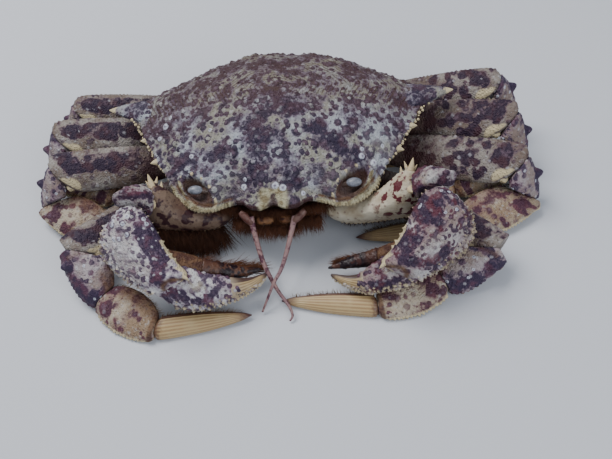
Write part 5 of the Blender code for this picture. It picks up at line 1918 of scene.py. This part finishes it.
@dataclass
class Underbody:
    """Breast plates and the folded abdomen below the shell.

    Attributes:
        outline: half its outline under the shell, from the mouth round to the back.
        centre_y: middle of the outline.
        levels: height and share of the outline.
        flap: place along and height of the abdomen's line, from the shell's hind rim forwards.
        flap_breadth: its half breadth at those places.
    """

    outline: tuple[Spot, ...] = (
        (0, -42), (9, -41.6), (13, -38), (17.5, -30), (25, -19), (29, -5), (28, 9),
        (22, 19.5), (10, 25), (0, 25.5),
    )
    centre_y: float = -14
    levels: tuple[Spot, ...] = (
        (2.5, 0), (2.5, 0.64), (2.9, 0.68), (3.8, 0.74), (10, 0.87), (17, 1), (17.2, 0.4),
    )
    flap: tuple[Spot, ...] = (
        (25.2, 16.9), (27.5, 14.4), (27.2, 9), (24, 3.6), (16, 0.95), (0, 0.95), (-14, 0.95), (-22, 1.1),
    )
    flap_breadth: tuple[float, ...] = (7.5, 9.5, 11, 11.5, 10.5, 7, 5.5, 1.5)

    def body(self) -> Skin:
        """Rings of the outline at each height, with grooves between the breast plates."""
        half = curve(self.outline, 121)
        ring = np.concatenate([half, half[-2:0:-1] * (-1, 1)])
        fine = curve(self.levels, 60)
        centre = np.array([0, self.centre_y])
        share = np.clip(fine[:, 1], 0.02, 1)[:, None, None]
        flat = centre + share * (ring - centre)
        height = np.clip(fine[:, 0], 2.5, 17)[:, None] + 0 * flat[..., 0]
        groove = (0.5 + 0.5 * np.cos(math.tau * flat[..., 1] / 9)) ** 8
        lift = 0.5 * groove * eased(np.abs(flat[..., 0]), 6, 10) * (height < 5)
        rings = np.dstack([flat, height + lift])
        brown = 0.6 * groove + 0.7 * eased(-flat[..., 1], 30, 41)
        return Skin.over_rings(rings, brown=np.clip(brown, 0, 1))

    def abdomen(self) -> Skin:
        """Flat tongue along its path, in plates with a groove between each two."""
        path = curve([(0, y, z) for y, z in self.flap], 120)
        breadth = np.interp(np.linspace(0, 1, 120), np.linspace(0, 1, len(self.flap)), self.flap_breadth)
        groove = (0.5 + 0.5 * np.cos(np.linspace(0, 7 * math.tau, 120))) ** 10
        radii = np.column_stack([breadth * (1 - 0.07 * groove), 1.05 - 0.3 * groove])
        return tube(path, radii, np.array([0, 0.4, 1]), 48, 2.4, brown=0.6 * groove[:, None])

    def build(self, maker: Maker) -> None:
        """Makes the underbody and the abdomen."""
        maker.piece("underbody_plates", self.body(), Finish.UNDERSIDE, Slot.UNDERSIDE, "underbody")
        tail = self.abdomen().above_floor()
        maker.piece("abdomen_plates", tail, Finish.UNDERSIDE, Slot.UNDERSIDE, "abdomen")


@dataclass
class Studio:
    """Pale floor, soft lights and the camera at the photograph's angle.

    Attributes:
        focal_px: focal length in pixels of the photograph's frame.
        elevation: the camera's height above the horizon, in degrees.
        swing: its turn to the crab's left, in degrees.
        roll: its roll, in degrees.
        distance: its distance from its target.
        target: what it looks at.
        sensor: width of its sensor.
    """

    focal_px: float = 640
    elevation: float = 52.5
    swing: float = 7.6
    roll: float = -8.6
    distance: float = 219
    target: Point = (9.8, -45.9, 12)
    sensor: float = 36

    def camera(self) -> None:
        """Sets the camera from its angles: back is the way from the target to it."""
        rise, swing, roll = (math.radians(v) for v in (self.elevation, self.swing, self.roll))
        back = Vector((math.sin(swing) * math.cos(rise), -math.cos(swing) * math.cos(rise), math.sin(rise)))
        right = Vector((math.cos(swing), math.sin(swing), 0))
        up = back.cross(right)
        turned = right * math.cos(roll) + up * math.sin(roll)
        upright = up * math.cos(roll) - right * math.sin(roll)
        lens = bpy.data.cameras.new("camera")
        lens.sensor_width = self.sensor
        lens.lens = self.sensor * self.focal_px / FRAME_WIDTH_PX
        lens.clip_start = 0.005
        made = bpy.data.objects.new("camera", lens)
        place = (Vector(self.target) + back * self.distance) * MM
        made.matrix_world = Matrix.Translation(place) @ Matrix((turned, upright, back)).transposed().to_4x4()
        bpy.context.scene.collection.objects.link(made)
        bpy.context.scene.camera = made

    def floor(self) -> None:
        """Wide plain floor."""
        x, y = np.meshgrid(np.linspace(-1500, 1500, 5), np.linspace(-1500, 1500, 5))
        points = np.column_stack([x.ravel(), y.ravel(), np.zeros(25)])
        index = np.arange(25).reshape(5, 5)
        quads = np.stack([index[:-1, :-1], index[:-1, 1:], index[1:, 1:], index[1:, :-1]], -1).reshape(-1, 4)
        made = Skin(points, quads, np.zeros((0, 3), int)).to_object("floor")
        g = Graph("floor_pale")
        made.data.materials.append(g.dress((0.5, 0.52, 0.57), 0.7, g.noise(6, 3), 0.05))
        made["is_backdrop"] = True

    def light(self, name: str, place: Point, size: float, power: float, colour: Colour) -> None:
        """Soft square light that faces the crab."""
        lamp = bpy.data.lights.new(name, "AREA")
        lamp.energy, lamp.size, lamp.color = power, size, colour
        made = bpy.data.objects.new(name, lamp)
        made.location = place
        made.rotation_euler = (Vector((0, -0.02, 0)) - Vector(place)).to_track_quat("-Z", "Y").to_euler()
        bpy.context.scene.collection.objects.link(made)

    def build(self) -> None:
        """Sets up the studio."""
        self.camera()
        self.floor()
        world = bpy.data.worlds.new("studio")
        world.use_nodes = True
        world.node_tree.nodes["Background"].inputs["Color"].default_value = (0.86, 0.92, 1, 1)
        world.node_tree.nodes["Background"].inputs["Strength"].default_value = 0.45
        bpy.context.scene.world = world
        self.light("key", (-0.35, 0.25, 0.75), 0.5, 8.4, (1, 0.98, 0.96))
        self.light("fill", (0.5, -0.6, 0.5), 0.7, 5.2, (0.94, 0.97, 1))


def corners() -> list[list[float]]:
    """Lowest and highest corner of what is shown, as plain numbers."""
    return [[float(v) for v in corner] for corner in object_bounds()]


def main() -> None:
    """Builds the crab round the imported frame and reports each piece."""
    logging.basicConfig(level=logging.INFO, format="%(name)s %(message)s")
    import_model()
    maker = Maker()
    Shell().build(maker)
    Underbody().build(maker)
    Face().build(maker)
    for claw in CLAWS:
        claw.build(maker)
        for number in LEG_ROOT:
            Leg(claw.label, number).build(maker)
    Studio().build()
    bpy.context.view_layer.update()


if __name__ == "__main__":
    main()
